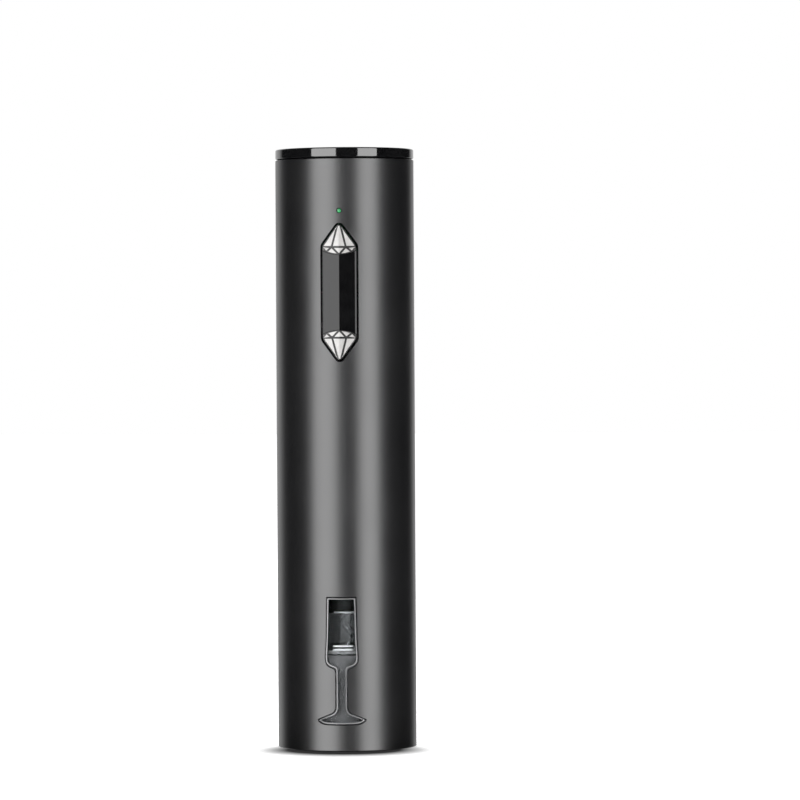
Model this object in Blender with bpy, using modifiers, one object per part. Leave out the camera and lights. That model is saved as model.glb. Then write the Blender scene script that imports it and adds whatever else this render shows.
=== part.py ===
"""Cordless electric wine opener, built up as the pieces it would come apart into.

Frame: metres, +Z up, the opener standing on its open mouth at z = 0 with its axis on Z.
The button, the light and the glass-shaped window face -Y; the charging socket faces +Y.
"""
import math
import bmesh
import bpy
from mathutils import Matrix, Vector

MM = 0.001
GAP = 0.3 * MM              # air between two pieces that touch or slide

# ---- driving sizes: the tube ----
BODY_R = 24.5 * MM          # outer radius of the outer sleeve
SLEEVE_WALL = 0.8 * MM
PANE_T = 1.3 * MM           # clear window behind the sleeve
FRAME_WALL = 1.6 * MM
CAP_H = 3.5 * MM            # visible band of the top cap
CAP_TOP_T = 2.0 * MM
CAP_ROUND = 0.8 * MM
CAP_SPIGOT = 2.7 * MM

# ---- driving sizes: bottle end ----
MOUTH_R = 15.5 * MM         # bottle neck bore
MOUTH_LEAD_IN = 2.5 * MM
MOUTH_DEPTH = 30.0 * MM
STOP_T = 3.4 * MM           # web that stops on the bottle's lip
STOP_R = 12.0 * MM          # hole in it for the cork
FOOT_H = 6.0 * MM
CHAMBER_H = 42.3 * MM
CHAMBER_FLANGE_T = 1.4 * MM
CHAMBER_R = 12.5 * MM       # above the step that the worm guide rests on
CHAMBER_STEP = 0.7 * MM
CHAMBER_WALL = 1.8 * MM
FLANGE_T = 2.0 * MM
GUIDE_Z = 47.6 * MM
GUIDE_H = 5.0 * MM

# ---- driving sizes: worm and its feed ----
FEED = 40.0 * MM            # how far the worm travels down
LEAD = 12.0 * MM            # pitch of the worm and of the guide grooves
WORM_R = 4.0 * MM
WIRE_R = 1.4 * MM
WORM_TIP_Z = MOUTH_DEPTH
WORM_FRONT_Z = 47.3 * MM    # height at which a turn of the worm faces the window
WORM_POINTS = 10            # spline points in a turn
PIN_R = 1.5 * MM
PIN_OUT = 11.9 * MM
TUBE_R = 10.3 * MM          # drive tube, outside
TUBE_WALL = 1.95 * MM
CARRIAGE_H = 8.0 * MM
GROOVE_DEPTH = 1.4 * MM
THREAD_WALL = 3.4 * MM      # wall of the grooved sleeve, groove included
TURN_STEPS = 20             # facets of the grooved bore, shared with its grooves
BUSH_H = 2.9 * MM

# ---- driving sizes: gearbox ----
MODULE = 0.7 * MM
SUN_TEETH = 12
PLANET_TEETH = 12
RING_TEETH = SUN_TEETH + 2 * PLANET_TEETH
PLANETS = 3
STAGES = 3
FACE_W = 4.5 * MM
PLATE_T = 1.6 * MM
PLAY = 0.4 * MM             # end play between wheels and plates
BACKLASH = 0.22 * MM
RING_WALL = 1.55 * MM
AXLE_R = 1.2 * MM

# ---- driving sizes: motor, battery and boards ----
MOTOR_R = 12.2 * MM
MOTOR_LEN = 30.6 * MM
SHAFT_R = 1.0 * MM
CELL_R = 9.0 * MM
CELL_LEN = 35.0 * MM
CELL_Y = 2.0 * MM
BOARD_T = 1.6 * MM
BOARD_W = 22.0 * MM
SWITCH_SIDE = 6.0 * MM
SWITCH_BODY_H = 3.2 * MM
SWITCH_SPREAD = 7.5 * MM    # from the rocker's pivot to each switch
PLUNGER_R = 1.5 * MM
PLUNGER_OUT = 0.9 * MM

# ---- driving sizes: rocker, light and window ----
ROCKER_RISE = 10.2 * MM     # its pivot above the foot of the motor
ROCKER_HALF = 23.6 * MM
ROCKER_W = 12.0 * MM
ROCKER_TIP_W = 1.6 * MM
ROCKER_POINT = 7.1 * MM     # length of each pointed end
ROCKER_PROUD = 0.8 * MM     # ridge above the sleeve
ROCKER_T = 3.8 * MM
ROCKER_FALL = 0.95 * MM     # fall from the ridge to each long edge
BEZEL_WALL = 0.5 * MM
BEZEL_GAP = 0.5 * MM
INLAY_CUT = 13.2 * MM       # from the pivot to the middle of an inlay's curved edge
INLAY_CURVE = 1.5 * MM
LIGHT_RISE = 5.0 * MM       # light above the rocker's tip
PIPE_R = 0.6 * MM
GLASS_TOP_Z = 53.7 * MM
GLASS_TOP_W = 4.9 * MM
GLASS_BOWL_W = 5.8 * MM
GLASS_BOWL_Z = 31.8 * MM
GLASS_STEM_W = 1.8 * MM
GLASS_STEM_TOP_Z = 28.6 * MM
GLASS_FOOT_TOP_Z = 13.2 * MM
GLASS_FOOT_W = 7.9 * MM
GLASS_FOOT_TIP_Z = 10.8 * MM
GLASS_BASE_Z = 9.6 * MM
SOCKET_RISE = 18.8 * MM     # charging socket above the foot of the motor
SCREW_R = 1.0 * MM
BOSS_R = 3.0 * MM
BOSS_X = 17.9 * MM

# ---- places that follow from the sizes ----
SLEEVE_IN = BODY_R - SLEEVE_WALL
FRAME_R = SLEEVE_IN - 0.4 * MM
FRAME_IN = FRAME_R - FRAME_WALL
FLANGE_R = FRAME_IN - 0.4 * MM
PANE_R = SLEEVE_IN - GAP
STOP_TOP = MOUTH_DEPTH + STOP_T
CHAMBER_Z = STOP_TOP + GAP
CHAMBER_TOP = CHAMBER_Z + CHAMBER_H
THREAD_Z = CHAMBER_TOP + GAP
FRAME_Z = THREAD_Z + FLANGE_T + 1.0 * MM
TUBE_Z = THREAD_Z + 0.5 * MM
SLOT_HALF = PIN_R + GAP
PIN_LOW = TUBE_Z + 1.4 * MM + SLOT_HALF
PIN_Z = PIN_LOW + FEED
CARRIAGE_Z = PIN_Z - CARRIAGE_H / 2
TUBE_IN = TUBE_R - TUBE_WALL
BORE_R = TUBE_R + 0.6 * MM
GROOVE_R = BORE_R + GROOVE_DEPTH
THREAD_R = BORE_R + THREAD_WALL
BUSH_Z = PIN_Z + 3.3 * MM
THREAD_TOP = BUSH_Z + GAP + BUSH_H
PITCH_R = MODULE * SUN_TEETH / 2
ORBIT_R = MODULE * (SUN_TEETH + PLANET_TEETH) / 2
RING_PITCH_R = MODULE * RING_TEETH / 2
ADDENDUM = 0.75 * MODULE
DEDENDUM = 0.95 * MODULE
BUSH_R = RING_PITCH_R - ADDENDUM + 0.05 * MM
GEARBOX_R = RING_PITCH_R + DEDENDUM + RING_WALL
CARRIER_R = RING_PITCH_R - ADDENDUM - 0.45 * MM
GEARBOX_Z = THREAD_TOP + GAP
OUTPUT_PLATE_Z = GEARBOX_Z + 0.5 * MM
STAGE_H = FACE_W + PLATE_T + 2 * PLAY
GEARBOX_TOP = OUTPUT_PLATE_Z + STAGES * STAGE_H
MOTOR_PLATE_Z = GEARBOX_TOP + GAP
MOTOR_Z = MOTOR_PLATE_Z + PLATE_T + GAP
MOTOR_TOP = MOTOR_Z + MOTOR_LEN
ROCKER_Z = MOTOR_Z + ROCKER_RISE
LED_Z = ROCKER_Z + ROCKER_HALF + LIGHT_RISE
USB_Z = MOTOR_Z + SOCKET_RISE
CRADLE_Z = MOTOR_TOP + 0.8 * MM
CELL_Z = CRADLE_Z + PLATE_T + 2 * GAP + CELL_R
SLEEVE_TOP = CELL_Z + CELL_R + 5.6 * MM
CAP_Z = SLEEVE_TOP + GAP
CAP_TOP = CAP_Z + CAP_H
FRAME_TOP = SLEEVE_TOP - CAP_SPIGOT - GAP
BOARD_FACE_Y = -(BODY_R - 9.0 * MM)
BOARD_Z = (MOTOR_Z + 0.4 * MM, LED_Z + 9.8 * MM)
SWITCH_TOP_Y = BOARD_FACE_Y - GAP - SWITCH_BODY_H
PLUNGER_TIP_Y = SWITCH_TOP_Y - PLUNGER_OUT
RIDGE_Y = -(BODY_R + ROCKER_PROUD)
ROCKER_BACK_Y = RIDGE_Y + ROCKER_T
PIVOT_Y = ROCKER_BACK_Y + 2.5 * MM
POCKET_Y = RIDGE_Y + 1.7 * MM
PIVOT_PIN_R = 0.75 * MM
CHARGE_Y = BODY_R - 8.5 * MM
SCREW_HEIGHTS = (THREAD_Z + 27.7 * MM, MOTOR_Z + 22.2 * MM)
FAR = 4 * BODY_R            # reach of a cutter that goes right through

FINISHES = {
    "satin_black": ((0.012, 0.012, 0.013), 0.34, 0.6),
    "gloss_black": ((0.004, 0.004, 0.005), 0.06, 0.0),
    "smoke_grey": ((0.16, 0.16, 0.165), 0.42, 0.0),
    "clear": ((0.75, 0.77, 0.78), 0.05, 0.0),
    "black_nylon": ((0.02, 0.02, 0.021), 0.5, 0.0),
    "grey_acetal": ((0.42, 0.42, 0.4), 0.45, 0.0),
    "steel": ((0.55, 0.56, 0.57), 0.25, 1.0),
    "chrome": ((0.85, 0.86, 0.87), 0.1, 1.0),
    "brass": ((0.7, 0.5, 0.2), 0.3, 1.0),
    "copper": ((0.72, 0.35, 0.2), 0.35, 1.0),
    "ferrite": ((0.05, 0.05, 0.055), 0.6, 0.0),
    "board_green": ((0.02, 0.14, 0.06), 0.45, 0.0),
    "cell_blue": ((0.03, 0.12, 0.4), 0.35, 0.0),
    "pearl_white": ((0.82, 0.82, 0.8), 0.2, 0.0),
    "led_green": ((0.1, 0.8, 0.25), 0.2, 0.0),
    "lead_red": ((0.6, 0.02, 0.02), 0.4, 0.0),
    "lead_black": ((0.02, 0.02, 0.02), 0.4, 0.0),
}

for old in list(bpy.data.objects):
    bpy.data.objects.remove(old, do_unlink=True)
parts = bpy.data.collections.new("electric_wine_opener")
cutters = bpy.data.collections.new("cutters")
bpy.context.scene.collection.children.link(parts)
bpy.context.scene.collection.children.link(cutters)


# ---- shaping helpers ----
def finish(name):
    """The Principled material of one finish."""
    found = bpy.data.materials.get(name)
    if found:
        return found
    colour, roughness, metallic = FINISHES[name]
    made = bpy.data.materials.new(name)
    made.use_nodes = True
    shader = made.node_tree.nodes["Principled BSDF"]
    shader.inputs["Base Color"].default_value = (*colour, 1.0)
    shader.inputs["Roughness"].default_value = roughness
    shader.inputs["Metallic"].default_value = metallic
    return made


def settle(obj, name, look):
    """Name an object, give it its finish, and put it with the parts or the cutters."""
    for home in list(obj.users_collection):
        home.objects.unlink(obj)
    obj.name = name
    obj.data.name = name
    if look:
        parts.objects.link(obj)
        obj.data.materials.append(finish(look))
    else:
        cutters.objects.link(obj)
        obj.hide_render = True
        obj.display_type = "WIRE"
    return obj


def smooth(obj, degrees=30):
    """Round faces shade smooth, and edges sharper than the angle stay crisp."""
    obj.data.shade_smooth()
    obj.data.set_sharp_from_angle(angle=math.radians(degrees))
    return obj


def block(name, low, high, look=None):
    """A box between two corners."""
    size = Vector(high) - Vector(low)
    bpy.ops.mesh.primitive_cube_add(size=1, location=(Vector(low) + Vector(high)) / 2)
    obj = bpy.context.object
    obj.scale = size
    bpy.ops.object.transform_apply(location=True, rotation=False, scale=True)
    return settle(obj, name, look)


def rod(name, start, end, radius, look=None, sides=16):
    """A round bar between two points."""
    run = Vector(end) - Vector(start)
    turn = Vector((0, 0, 1)).rotation_difference(run)
    bpy.ops.mesh.primitive_cylinder_add(
        vertices=sides, radius=radius, depth=run.length,
        location=(Vector(start) + Vector(end)) / 2, rotation=turn.to_euler())
    bpy.ops.object.transform_apply(location=True, rotation=True, scale=False)
    return smooth(settle(bpy.context.object, name, look))


def turned(name, profile, look=None, steps=48, ring=True):
    """A profile of (radius, height) turned about Z. A ring's profile closes on itself."""
    mesh = bpy.data.meshes.new(name)
    edges = [(i, i + 1) for i in range(len(profile) - 1)]
    if ring:
        edges.append((len(profile) - 1, 0))
    mesh.from_pydata([(r, 0, z) for r, z in profile], edges, [])
    obj = bpy.data.objects.new(name, mesh)
    bpy.context.scene.collection.objects.link(obj)
    screw = obj.modifiers.new("turn", "SCREW")
    screw.axis = "Z"
    screw.steps = steps
    screw.render_steps = steps
    screw.use_merge_vertices = True
    screw.merge_threshold = 0.00001
    screw.use_smooth_shade = False
    return settle(obj, name, look)


def outline_plate(name, outlines, low, high, look=None, along="Z"):
    """Flat outlines filled and drawn from low to high along Z, or along Y for (x, z) outlines."""
    curve = bpy.data.curves.new(name, "CURVE")
    curve.dimensions = "2D"
    curve.fill_mode = "BOTH"
    curve.extrude = (high - low) / 2
    for points in outlines:
        spline = curve.splines.new("POLY")
        spline.points.add(len(points) - 1)
        for slot, (x, y) in zip(spline.points, points):
            slot.co = (x, y, 0, 1)
        spline.use_cyclic_u = True
    obj = bpy.data.objects.new(name, curve)
    bpy.context.scene.collection.objects.link(obj)
    middle = (low + high) / 2
    if along == "Y":
        obj.matrix_world = Matrix.Translation((0, middle, 0)) @ Matrix.Rotation(math.pi / 2, 4, "X")
    else:
        obj.matrix_world = Matrix.Translation((0, 0, middle))
    return settle(meshed(obj), name, look)


def meshed(obj):
    """A curve object turned into a welded mesh object in the same place."""
    bpy.context.view_layer.update()
    graph = bpy.context.evaluated_depsgraph_get()
    mesh = bpy.data.meshes.new_from_object(obj.evaluated_get(graph))
    mesh.materials.clear()
    mesh.transform(obj.matrix_world)
    shape = bmesh.new()
    shape.from_mesh(mesh)
    bmesh.ops.remove_doubles(shape, verts=shape.verts, dist=0.000001)
    shape.to_mesh(mesh)
    shape.free()
    made = bpy.data.objects.new(obj.name, mesh)
    bpy.context.scene.collection.objects.link(made)
    bpy.data.objects.remove(obj, do_unlink=True)
    return made


def wire(name, points, radius, look, tip=1.0):
    """A round wire through points; its first end narrows to a share of its radius."""
    curve = bpy.data.curves.new(name, "CURVE")
    curve.dimensions = "3D"
    curve.bevel_depth = radius
    curve.bevel_resolution = 2
    curve.use_fill_caps = True
    spline = curve.splines.new("POLY")
    spline.points.add(len(points) - 1)
    for slot, point in zip(spline.points, points):
        slot.co = (*point, 1)
    if tip < 1:
        for i, slot in enumerate(spline.points[:4]):
            slot.radius = tip + (1 - tip) * i / 4
    obj = bpy.data.objects.new(name, curve)
    bpy.context.scene.collection.objects.link(obj)
    return smooth(settle(meshed(obj), name, look), 50)


def shaped(target, tool, how):
    """Cut, join or trim a part with another solid."""
    step = target.modifiers.new(tool.name, "BOOLEAN")
    step.operation = how
    step.solver = "EXACT"
    step.object = tool
    return target


def cut(target, *tools):
    for tool in tools:
        shaped(target, tool, "DIFFERENCE")
    return target


def join(target, *tools):
    for tool in tools:
        shaped(target, tool, "UNION")
    return target


def trim(target, tool):
    return shaped(target, tool, "INTERSECT")


def hang(obj, pivot):
    """Move an object's origin onto its joint's axis, and leave its shape where it is."""
    obj.data.transform(Matrix.Translation(-Vector(pivot)))
    obj.location = pivot
    return obj


def arc(radius, start, end, steps, centre=(0, 0)):
    """Points along an arc between two angles in degrees, both ends included."""
    angles = [math.radians(start + (end - start) * i / steps) for i in range(steps + 1)]
    return [(centre[0] + radius * math.cos(a), centre[1] + radius * math.sin(a)) for a in angles]


def mirrored(points):
    """A half outline at +x, given from top to bottom, closed by its mirror image."""
    return points + [(-x, y) for x, y in reversed(points)]


# ---- outer sleeve, cap and window ----
def glass_outline(grow=0.0):
    """The champagne glass of the window, as (x, z) points."""
    bowl_r = GLASS_BOWL_W - GLASS_STEM_W + 0.6 * MM
    bowl = arc(1, 0, 80, 6)
    drop = GLASS_BOWL_Z - GLASS_STEM_TOP_Z
    half = [(GLASS_TOP_W + grow, GLASS_TOP_Z + grow)]
    half += [(GLASS_BOWL_W + grow - bowl_r * (1 - c), GLASS_BOWL_Z - drop * s) for c, s in bowl]
    half.append((GLASS_STEM_W + grow, GLASS_STEM_TOP_Z - grow))
    half.append((GLASS_STEM_W + grow, GLASS_FOOT_TOP_Z + 1.2 * MM))
    half.append((GLASS_STEM_W + 0.7 * MM + grow, GLASS_FOOT_TOP_Z + 0.3 * MM))
    half.append((GLASS_FOOT_W + grow, GLASS_FOOT_TIP_Z))
    half.append((GLASS_FOOT_W - 0.6 * MM + grow, GLASS_BASE_Z - grow))
    return mirrored(half)


def rocker_outline(grow=0.0):
    """The long hexagon of the rocker, as (x, z) points."""
    tip = ROCKER_TIP_W / 2
    half_w = ROCKER_W / 2
    upper = [
        (tip - 0.5 * MM + grow / 2, ROCKER_HALF + grow),
        (tip + 0.3 * MM + grow, ROCKER_HALF - 0.5 * MM + grow / 2),
        (half_w - 0.25 * MM + grow, ROCKER_HALF - ROCKER_POINT + 0.5 * MM),
        (half_w + grow, ROCKER_HALF - ROCKER_POINT - 0.5 * MM),
    ]
    half = upper + [(x, -z) for x, z in reversed(upper)]
    return mirrored([(x, ROCKER_Z + z) for x, z in half])


def outer_sleeve():
    sleeve = turned("outer_sleeve", [
        (BODY_R, SLEEVE_TOP), (BODY_R, 0), (SLEEVE_IN, 0), (SLEEVE_IN, SLEEVE_TOP),
    ], "satin_black")
    front, behind = -FAR, -BODY_R / 2
    opening = rocker_outline(BEZEL_GAP)
    return cut(
        sleeve,
        outline_plate("rocker_opening", [opening], front, behind, along="Y"),
        outline_plate("glass_opening", [glass_outline()], front, behind, along="Y"),
        rod("light_hole", (0, front, LED_Z), (0, behind, LED_Z), PIPE_R + GAP, sides=12),
        block("socket_opening", (-4.8 * MM, BODY_R / 2, USB_Z - 2.4 * MM),
              (4.8 * MM, FAR, USB_Z + 2.4 * MM)))


def top_cap():
    flat_r = BODY_R - CAP_ROUND
    round_edge = arc(CAP_ROUND, 90, 0, 2, (flat_r, CAP_TOP - CAP_ROUND))
    spigot_r = SLEEVE_IN - 0.4 * MM
    spigot_in = spigot_r - 1.4 * MM
    return turned("top_cap", [
        (0, CAP_TOP), *round_edge, (BODY_R, CAP_Z), (spigot_r, CAP_Z),
        (spigot_r, CAP_Z - CAP_SPIGOT), (spigot_in, CAP_Z - CAP_SPIGOT),
        (spigot_in, CAP_TOP - CAP_TOP_T), (0, CAP_TOP - CAP_TOP_T),
    ], "gloss_black", ring=False)


def flute_window():
    """A curved clear pane behind the glass-shaped opening."""
    inner = PANE_R - PANE_T
    pane = turned("flute_window", [
        (PANE_R, GLASS_TOP_Z + 2.8 * MM), (PANE_R, FOOT_H + 0.6 * MM),
        (inner, FOOT_H + 0.6 * MM), (inner, GLASS_TOP_Z + 2.8 * MM),
    ], "clear")
    half = GLASS_FOOT_W + 1.6 * MM
    return trim(pane, block("window_span", (-half, -FAR, 0), (half, -BODY_R / 2, FAR)))


# ---- bottle end ----
def neck_guide():
    """The mouth that goes over the bottle's neck, with the web its lip stops on."""
    wall_r = PANE_R - PANE_T - GAP
    foot_r = SLEEVE_IN - GAP
    return turned("neck_guide", [
        (wall_r, STOP_TOP), (wall_r, FOOT_H), (foot_r, FOOT_H), (foot_r, 0),
        (MOUTH_R + MOUTH_LEAD_IN, 0), (MOUTH_R, MOUTH_LEAD_IN * 1.6), (MOUTH_R, MOUTH_DEPTH),
        (STOP_R, MOUTH_DEPTH), (STOP_R, STOP_TOP),
    ], "smoke_grey", steps=36)


def cork_chamber():
    """Clear tube that the cork rises into; its step holds up the worm guide."""
    outer = CHAMBER_R + CHAMBER_WALL
    low_r = CHAMBER_R - CHAMBER_STEP
    step_z = GUIDE_Z - GAP
    return turned("cork_chamber", [
        (outer, CHAMBER_TOP), (outer, CHAMBER_Z + CHAMBER_FLANGE_T),
        (FLANGE_R, CHAMBER_Z + CHAMBER_FLANGE_T),
        (FLANGE_R, CHAMBER_Z), (low_r, CHAMBER_Z), (low_r, step_z), (CHAMBER_R, step_z),
        (CHAMBER_R, CHAMBER_TOP),
    ], "clear", steps=32)


def worm_guide():
    """Funnel that centres the worm and rides up on top of the cork."""
    outer = CHAMBER_R - 0.4 * MM
    hole = WORM_R + 0.5 * MM
    top = GUIDE_Z + GUIDE_H
    return turned("worm_guide", [
        (outer, top), (outer, GUIDE_Z), (hole + 3 * MM, GUIDE_Z), (hole, GUIDE_Z + 3 * MM), (hole, top),
    ], "black_nylon", steps=24)


# ---- worm feed ----
def corkscrew_worm():
    """Right-handed worm on a straight shank that is set in the carriage."""
    centre_r = WORM_R - WIRE_R
    shank_z = CARRIAGE_Z - 0.5 * LEAD
    points = []
    height = WORM_TIP_Z
    while height < shank_z:
        turn = 2 * math.pi * (height - WORM_FRONT_Z) / LEAD - math.pi / 2
        closing = max(0.0, 1 - (shank_z - height) / (0.4 * LEAD))
        radius = centre_r * (1 - closing)
        points.append((radius * math.cos(turn), radius * math.sin(turn), height))
        height += LEAD / WORM_POINTS
    points += [(0, 0, shank_z + WIRE_R), (0, 0, PIN_Z + 1.0 * MM)]
    return wire("corkscrew_worm", points, WIRE_R, "chrome", tip=0.2)


def worm_carriage():
    """Slug inside the drive tube that carries the worm and the two follower pins."""
    carriage_r = TUBE_IN - 0.35 * MM
    slug = rod("worm_carriage", (0, 0, CARRIAGE_Z), (0, 0, CARRIAGE_Z + CARRIAGE_H), carriage_r,
               "steel", sides=32)
    shank = rod("shank_hole", (0, 0, CARRIAGE_Z - MM), (0, 0, PIN_Z + 1.4 * MM), WIRE_R + 0.35 * MM)
    sides = [rod(f"pin_hole_{end}", (way * 4.7 * MM, 0, PIN_Z), (way * FAR, 0, PIN_Z), PIN_R + GAP)
             for end, way in (("left", -1), ("right", 1))]
    return cut(slug, shank, *sides)


def follower_pins():
    for end, way in (("left", -1), ("right", 1)):
        rod(f"follower_pin_{end}", (way * 5.0 * MM, 0, PIN_Z), (way * PIN_OUT, 0, PIN_Z), PIN_R, "steel")


def drive_tube():
    """Slotted tube that turns the carriage and lets it travel."""
    tube = turned("drive_tube", [
        (TUBE_R, GEARBOX_Z + 0.2 * MM), (TUBE_R, TUBE_Z), (TUBE_IN, TUBE_Z),
        (TUBE_IN, GEARBOX_Z + 0.2 * MM),
    ], "steel", steps=32)
    slots = [block(f"slot_{end}", (min(0, way * FAR), -SLOT_HALF, PIN_LOW - SLOT_HALF),
                   (max(0, way * FAR), SLOT_HALF, PIN_Z + SLOT_HALF))
             for end, way in (("left", -1), ("right", 1))]
    return cut(tube, *slots)


def helical_groove(name, start_angle):
    """A square bar swept along a right-handed helix, a little past both ends of the pin's path."""
    facet = 2 * math.pi / TURN_STEPS
    over_top = 1.5 * facet
    over_low = (PIN_R + GAP) / BORE_R
    steps = math.ceil((2 * math.pi * FEED / LEAD + over_top + over_low) / facet)
    half_h = (PIN_R + GAP) * 1.02
    low_z = PIN_Z + (over_top - steps * facet) * LEAD / (2 * math.pi)
    first = start_angle + over_top - steps * facet
    shape = bmesh.new()
    inner = BORE_R - 0.9 * MM
    corners = [shape.verts.new((r, 0, low_z + z)) for r, z in (
        (inner, -half_h), (GROOVE_R, -half_h), (GROOVE_R, half_h), (inner, half_h))]
    face = shape.faces.new(corners)
    bmesh.ops.rotate(shape, verts=shape.verts, cent=(0, 0, 0), matrix=Matrix.Rotation(first, 3, "Z"))
    bmesh.ops.spin(
        shape, geom=[face, *face.edges, *face.verts], cent=(0, 0, 0), axis=(0, 0, 1),
        dvec=(0, 0, LEAD / TURN_STEPS), angle=steps * facet, steps=steps, use_duplicate=False)
    bmesh.ops.recalc_face_normals(shape, faces=shape.faces)
    mesh = bpy.data.meshes.new(name)
    shape.to_mesh(mesh)
    shape.free()
    obj = bpy.data.objects.new(name, mesh)
    bpy.context.scene.collection.objects.link(obj)
    return settle(obj, name, None)


def thread_sleeve():
    """Fixed sleeve with two helical grooves that steer the follower pins."""
    counterbore = BUSH_R + GAP
    sleeve = turned("thread_sleeve", [
        (FLANGE_R, THREAD_TOP), (FLANGE_R, THREAD_TOP - 2 * FLANGE_T),
        (THREAD_R, THREAD_TOP - 2 * FLANGE_T), (THREAD_R, THREAD_Z + FLANGE_T),
        (FLANGE_R, THREAD_Z + FLANGE_T), (FLANGE_R, THREAD_Z), (BORE_R, THREAD_Z),
        (BORE_R, BUSH_Z), (counterbore, BUSH_Z), (counterbore, THREAD_TOP),
    ], "grey_acetal", steps=TURN_STEPS)
    return cut(sleeve, helical_groove("groove_right", 0), helical_groove("groove_left", math.pi))


def output_bush():
    return turned("output_bush", [
        (BUSH_R, THREAD_TOP), (BUSH_R, BUSH_Z + GAP),
        (TUBE_R + GAP, BUSH_Z + GAP), (TUBE_R + GAP, THREAD_TOP),
    ], "brass", steps=24)


# ---- gearbox ----
def gear_outline(teeth, inward=False, phase=0.0):
    """Straight-flanked teeth about the origin; inward teeth belong to a ring gear."""
    pitch_r = MODULE * teeth / 2
    flank = math.tan(math.radians(20))
    half_tooth = math.pi * MODULE / 4 - BACKLASH / 2
    way = -1 if inward else 1
    tip_r = pitch_r + way * ADDENDUM
    root_r = pitch_r - way * DEDENDUM
    half_tip = (half_tooth - ADDENDUM * flank) / tip_r
    half_root = (half_tooth + DEDENDUM * flank) / root_r
    points = []
    for tooth in range(teeth):
        middle = phase + 2 * math.pi * tooth / teeth
        for turn, radius in ((-half_root, root_r), (-half_tip, tip_r), (half_tip, tip_r), (half_root, root_r)):
            points.append((radius * math.cos(middle + turn), radius * math.sin(middle + turn)))
    return points


def stage_plate_z(stage):
    """Underside of a stage's carrier plate; stage 1 is next to the motor."""
    return OUTPUT_PLATE_Z + (STAGES - stage) * STAGE_H


def stage_wheel_z(stage):
    return stage_plate_z(stage) + PLATE_T + PLAY


def planet_places():
    turns = [math.radians(90 + 360 * i / PLANETS) for i in range(PLANETS)]
    return [(ORBIT_R * math.cos(a), ORBIT_R * math.sin(a)) for a in turns]


def ring_gear():
    rim = arc(GEARBOX_R, 0, 360, 36)[:-1]
    ring = outline_plate("gearbox_ring_gear", [rim, gear_outline(RING_TEETH, inward=True)],
                         GEARBOX_Z, GEARBOX_TOP, "grey_acetal")
    return smooth(ring, 20)


def planet_gears():
    half_pitch = math.pi / PLANET_TEETH
    for stage in range(1, STAGES + 1):
        low = stage_wheel_z(stage)
        for number, (x, y) in enumerate(planet_places(), 1):
            bore = arc(AXLE_R + GAP, 0, 360, 12)[:-1]
            wheel = outline_plate(
                f"stage_{stage}_planet_{number}", [gear_outline(PLANET_TEETH, phase=half_pitch), bore],
                low, low + FACE_W, "steel" if stage == STAGES else "grey_acetal")
            wheel.location = (x, y, 0)


def carriers():
    """Each carrier drives the next stage's sun wheel; the last one drives the tube."""
    for stage in range(1, STAGES + 1):
        low = stage_plate_z(stage)
        name = "output_carrier" if stage == STAGES else f"stage_{stage}_carrier"
        plate = rod(name, (0, 0, low), (0, 0, low + PLATE_T), CARRIER_R, "steel", sides=32)
        inside = low + PLATE_T / 2
        for number, (x, y) in enumerate(planet_places(), 1):
            join(plate, rod(f"{name}_axle_{number}", (x, y, inside),
                            (x, y, stage_wheel_z(stage) + FACE_W), AXLE_R, sides=12))
        if stage < STAGES:
            join(plate, outline_plate(f"{name}_sun", [gear_outline(SUN_TEETH)],
                                      stage_wheel_z(stage + 1), inside))
        else:
            join(plate, rod(f"{name}_hub", (0, 0, PIN_Z + CARRIAGE_H / 2 + 0.8 * MM), (0, 0, inside),
                            TUBE_IN - GAP, sides=24))


def motor_plate():
    """Lid of the gearbox that the motor screws to, flat in front to clear the rocker."""
    lid = turned("motor_plate", [
        (FLANGE_R, MOTOR_PLATE_Z + PLATE_T), (FLANGE_R, MOTOR_PLATE_Z),
        (2 * SHAFT_R, MOTOR_PLATE_Z), (2 * SHAFT_R, MOTOR_PLATE_Z + PLATE_T),
    ], "steel", steps=32)
    return cut(lid, block("rocker_clearance", (-FAR, -FAR, 0), (FAR, ROCKER_BACK_Y + 1.5 * MM, 3 * FAR)))


# ---- motor ----
def motor():
    can_top = MOTOR_TOP - 4.3 * MM
    bell_z = can_top + GAP
    inner = MOTOR_R - 1.0 * MM
    turned("motor_can", [
        (MOTOR_R, can_top), (MOTOR_R, MOTOR_Z), (1.6 * SHAFT_R, MOTOR_Z),
        (1.6 * SHAFT_R, MOTOR_Z + 1.2 * MM), (inner, MOTOR_Z + 1.2 * MM), (inner, can_top),
    ], "steel", steps=32)
    turned("motor_end_bell", [
        (MOTOR_R, MOTOR_TOP), (MOTOR_R, bell_z), (inner - GAP, bell_z),
        (inner - GAP, bell_z - 2 * MM), (1.4 * SHAFT_R, bell_z - 2 * MM), (1.4 * SHAFT_R, MOTOR_TOP),
    ], "black_nylon", steps=32)
    rod("motor_shaft", (0, 0, stage_wheel_z(1)), (0, 0, MOTOR_TOP - 0.4 * MM), SHAFT_R, "steel", sides=12)
    bore = arc(SHAFT_R + GAP, 0, 360, 12)[:-1]
    outline_plate("motor_pinion", [gear_outline(SUN_TEETH), bore],
                  stage_wheel_z(1), stage_wheel_z(1) + FACE_W, "brass")
    core_z = (MOTOR_Z + 3.2 * MM, can_top - 4.5 * MM)
    magnet_out = inner - GAP
    magnet_in = magnet_out - 1.4 * MM
    core_r = magnet_in - 0.5 * MM
    poles = 5
    core = []
    for pole in range(poles):
        start = 360 * pole / poles
        core += arc(core_r, start + 6, start + 360 / poles - 6, 5)
        core += arc(core_r * 0.45, start + 360 / poles - 11, start + 360 / poles + 11, 1)
    outline_plate("motor_armature", [core, bore], *core_z, "copper")
    for end, middle in (("front", 270), ("rear", 90)):
        shell = arc(magnet_out, middle - 62, middle + 62, 8) + arc(magnet_in, middle + 62, middle - 62, 8)
        outline_plate(f"motor_magnet_{end}", [shell], *core_z, "ferrite")


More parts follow.
